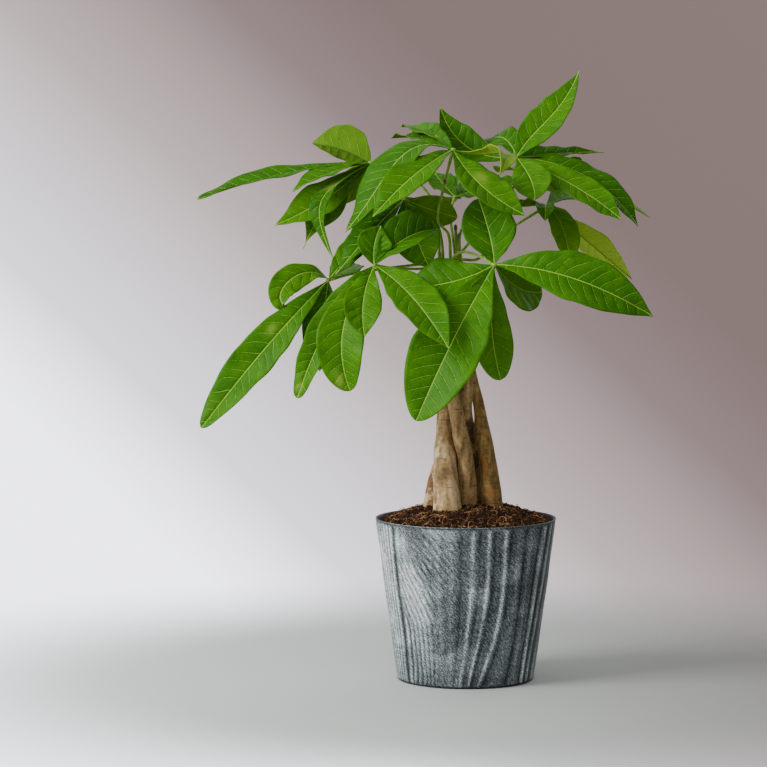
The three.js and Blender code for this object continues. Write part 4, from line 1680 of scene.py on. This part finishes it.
@dataclass(frozen=True)
class ClothFinish(Finish):
    """Plain pale cloth, matt, which clears away from the pot until only the backdrop shows."""

    name: str = "plain pale cloth"
    stops: Stops = ((0.1, "D4DAD6"), (0.45, "BCC2BD"), (0.9, "8E8C89"))
    slope: float = 1.6
    fade_from: float = 0.24
    fade_to: float = 0.62
    roughness: float = 0.9

    def inputs(self, add: AddNode) -> Inputs:
        """Reads the place on the floor.

        Args:
            add: adds nodes to the material.

        Returns:
            What feeds the shader, by the names of its inputs.
        """
        place = add("TexCoord", output="Object")
        shadow = layered(add, 0.5, [(add("SeparateXYZ", [place]), self.slope)])
        away = add("VectorMath", [place], "Value", operation="LENGTH")
        return {
            "Base Color": add("ValToRGB", [shadow], stops=self.stops),
            "Roughness": self.roughness,
            "Alpha": add("MapRange", [away, self.fade_to, self.fade_from], **SMOOTH),
        }


@dataclass(frozen=True)
class Lamp:
    """A square soft light that points at the plant: its place and side in metres, its power in watts."""

    name: str
    place: Triple
    size: float
    power: float
    aim: Triple = (-0.03, 0, 0.25)

    def build(self) -> None:
        """Hangs the lamp."""
        data = bpy.data.lights.new(self.name, "AREA")
        data.size, data.energy = self.size, self.power
        lamp = new_object(self.name, data)
        lamp.location = self.place
        lamp.rotation_euler = (Vector(self.aim) - Vector(self.place)).to_track_quat("-Z", "Y").to_euler()


@dataclass
class Stage:
    """The plain pale floor, the soft light and the camera."""

    cloth: ClothFinish = ClothFinish()
    floor_radius: float = 0.9
    distance: float = 2.4
    side: float = -0.064
    eye: float = 0.41
    tilt_degrees: float = 4.28
    focal_px: float = 3105.0
    frame_px: float = 767.0
    sensor_mm: float = 36.0
    backdrop_strength: float = 4.0
    backdrop: Stops = (
        (0.0, "F2F3FC"), (0.12, "ABA9B0"), (0.33, "7A7070"), (0.5, "54494A"), (0.62, "4A3F3E"),
        (1.0, "4C423F"),
    )
    wash: str = "F4F4F6"
    lamps: tuple[Lamp, ...] = (
        Lamp("window", (-1.8, -0.9, 1.3), 1.1, 62),
        Lamp("fill", (0.9, -2.0, 0.9), 1.6, 5),
        Lamp("back", (1.3, 1.7, 1.0), 1.4, 12),
    )

    def build_floor(self) -> None:
        """Makes the round floor."""
        bm = bmesh.new()
        bmesh.ops.create_circle(bm, cap_ends=True, segments=96, radius=self.floor_radius)
        new_mesh("floor", bm, [self.cloth.build()])

    def build_light(self) -> None:
        """Lights the plant softly from the upper left and front, against a pale backdrop."""
        world = bpy.data.worlds.new("studio")
        bpy.context.scene.world = world
        world.use_nodes = True
        world.node_tree.nodes.clear()
        add = partial(add_node, world.node_tree)
        ray = add("TexCoord", output="Generated")
        aside, _, upward = add("SeparateXYZ", [ray]).node.outputs
        slide = layered(add, 0.5, [(aside, 2.4), (upward, 2.6)])
        sky = add("ValToRGB", [slide], stops=self.backdrop)
        wash = add("Clamp", [layered(add, 0.62, [(aside, -0.5), (upward, 0.16)]), 0.12, 1.2])
        cast = add("Background", [linear_colour(self.wash), wash])
        seen = add("Background", [sky, self.backdrop_strength])
        add("OutputWorld", [add("MixShader", [add("LightPath"), cast, seen])])
        for lamp in self.lamps:
            lamp.build()

    def build_camera(self) -> None:
        """Puts the camera where the photograph was taken from."""
        data = bpy.data.cameras.new("camera")
        data.sensor_width = self.sensor_mm
        data.lens = self.focal_px * self.sensor_mm / self.frame_px
        camera = bpy.context.scene.camera = new_object("camera", data)
        camera.location = (self.side, -self.distance, self.eye)
        camera.rotation_euler = (math.radians(90 - self.tilt_degrees), 0, 0)


# ---- the whole plant ----


def main() -> None:
    """Builds the stage and the plant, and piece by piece."""
    logging.basicConfig(level=logging.INFO, format="%(message)s")
    stage = Stage()
    stage.build_camera()
    stage.build_light()
    stage.build_floor()

    pot = Pot()
    soil = Soil(pot)
    trunks = [trunk.build for trunk in TRUNKS.values()]
    for build in (pot.build, soil.build_mound, soil.build_crumbs, soil.build_fibres, *trunks):
        LOG.info("made %s", build().name)

    upper = BladeFinish(BladeSide.UPPER).build()
    lower = BladeFinish(
        BladeSide.LOWER, deep="2E5004", middle="486E0C", fresh="648A1C", pale="B0D044", rib="5A7A24",
        vein="7E9C44", roughness=0.58, shine=0.05,
    ).build()
    skin = StalkFinish().build()
    for leaf in LEAVES:
        LOG.info("made %s", leaf.build_blades(upper, lower).name)
        LOG.info("made %s", leaf.build_stalk(skin).name)
    LOG.info("made %s", Shoot().build(skin).name)


if __name__ == "__main__":
    main()
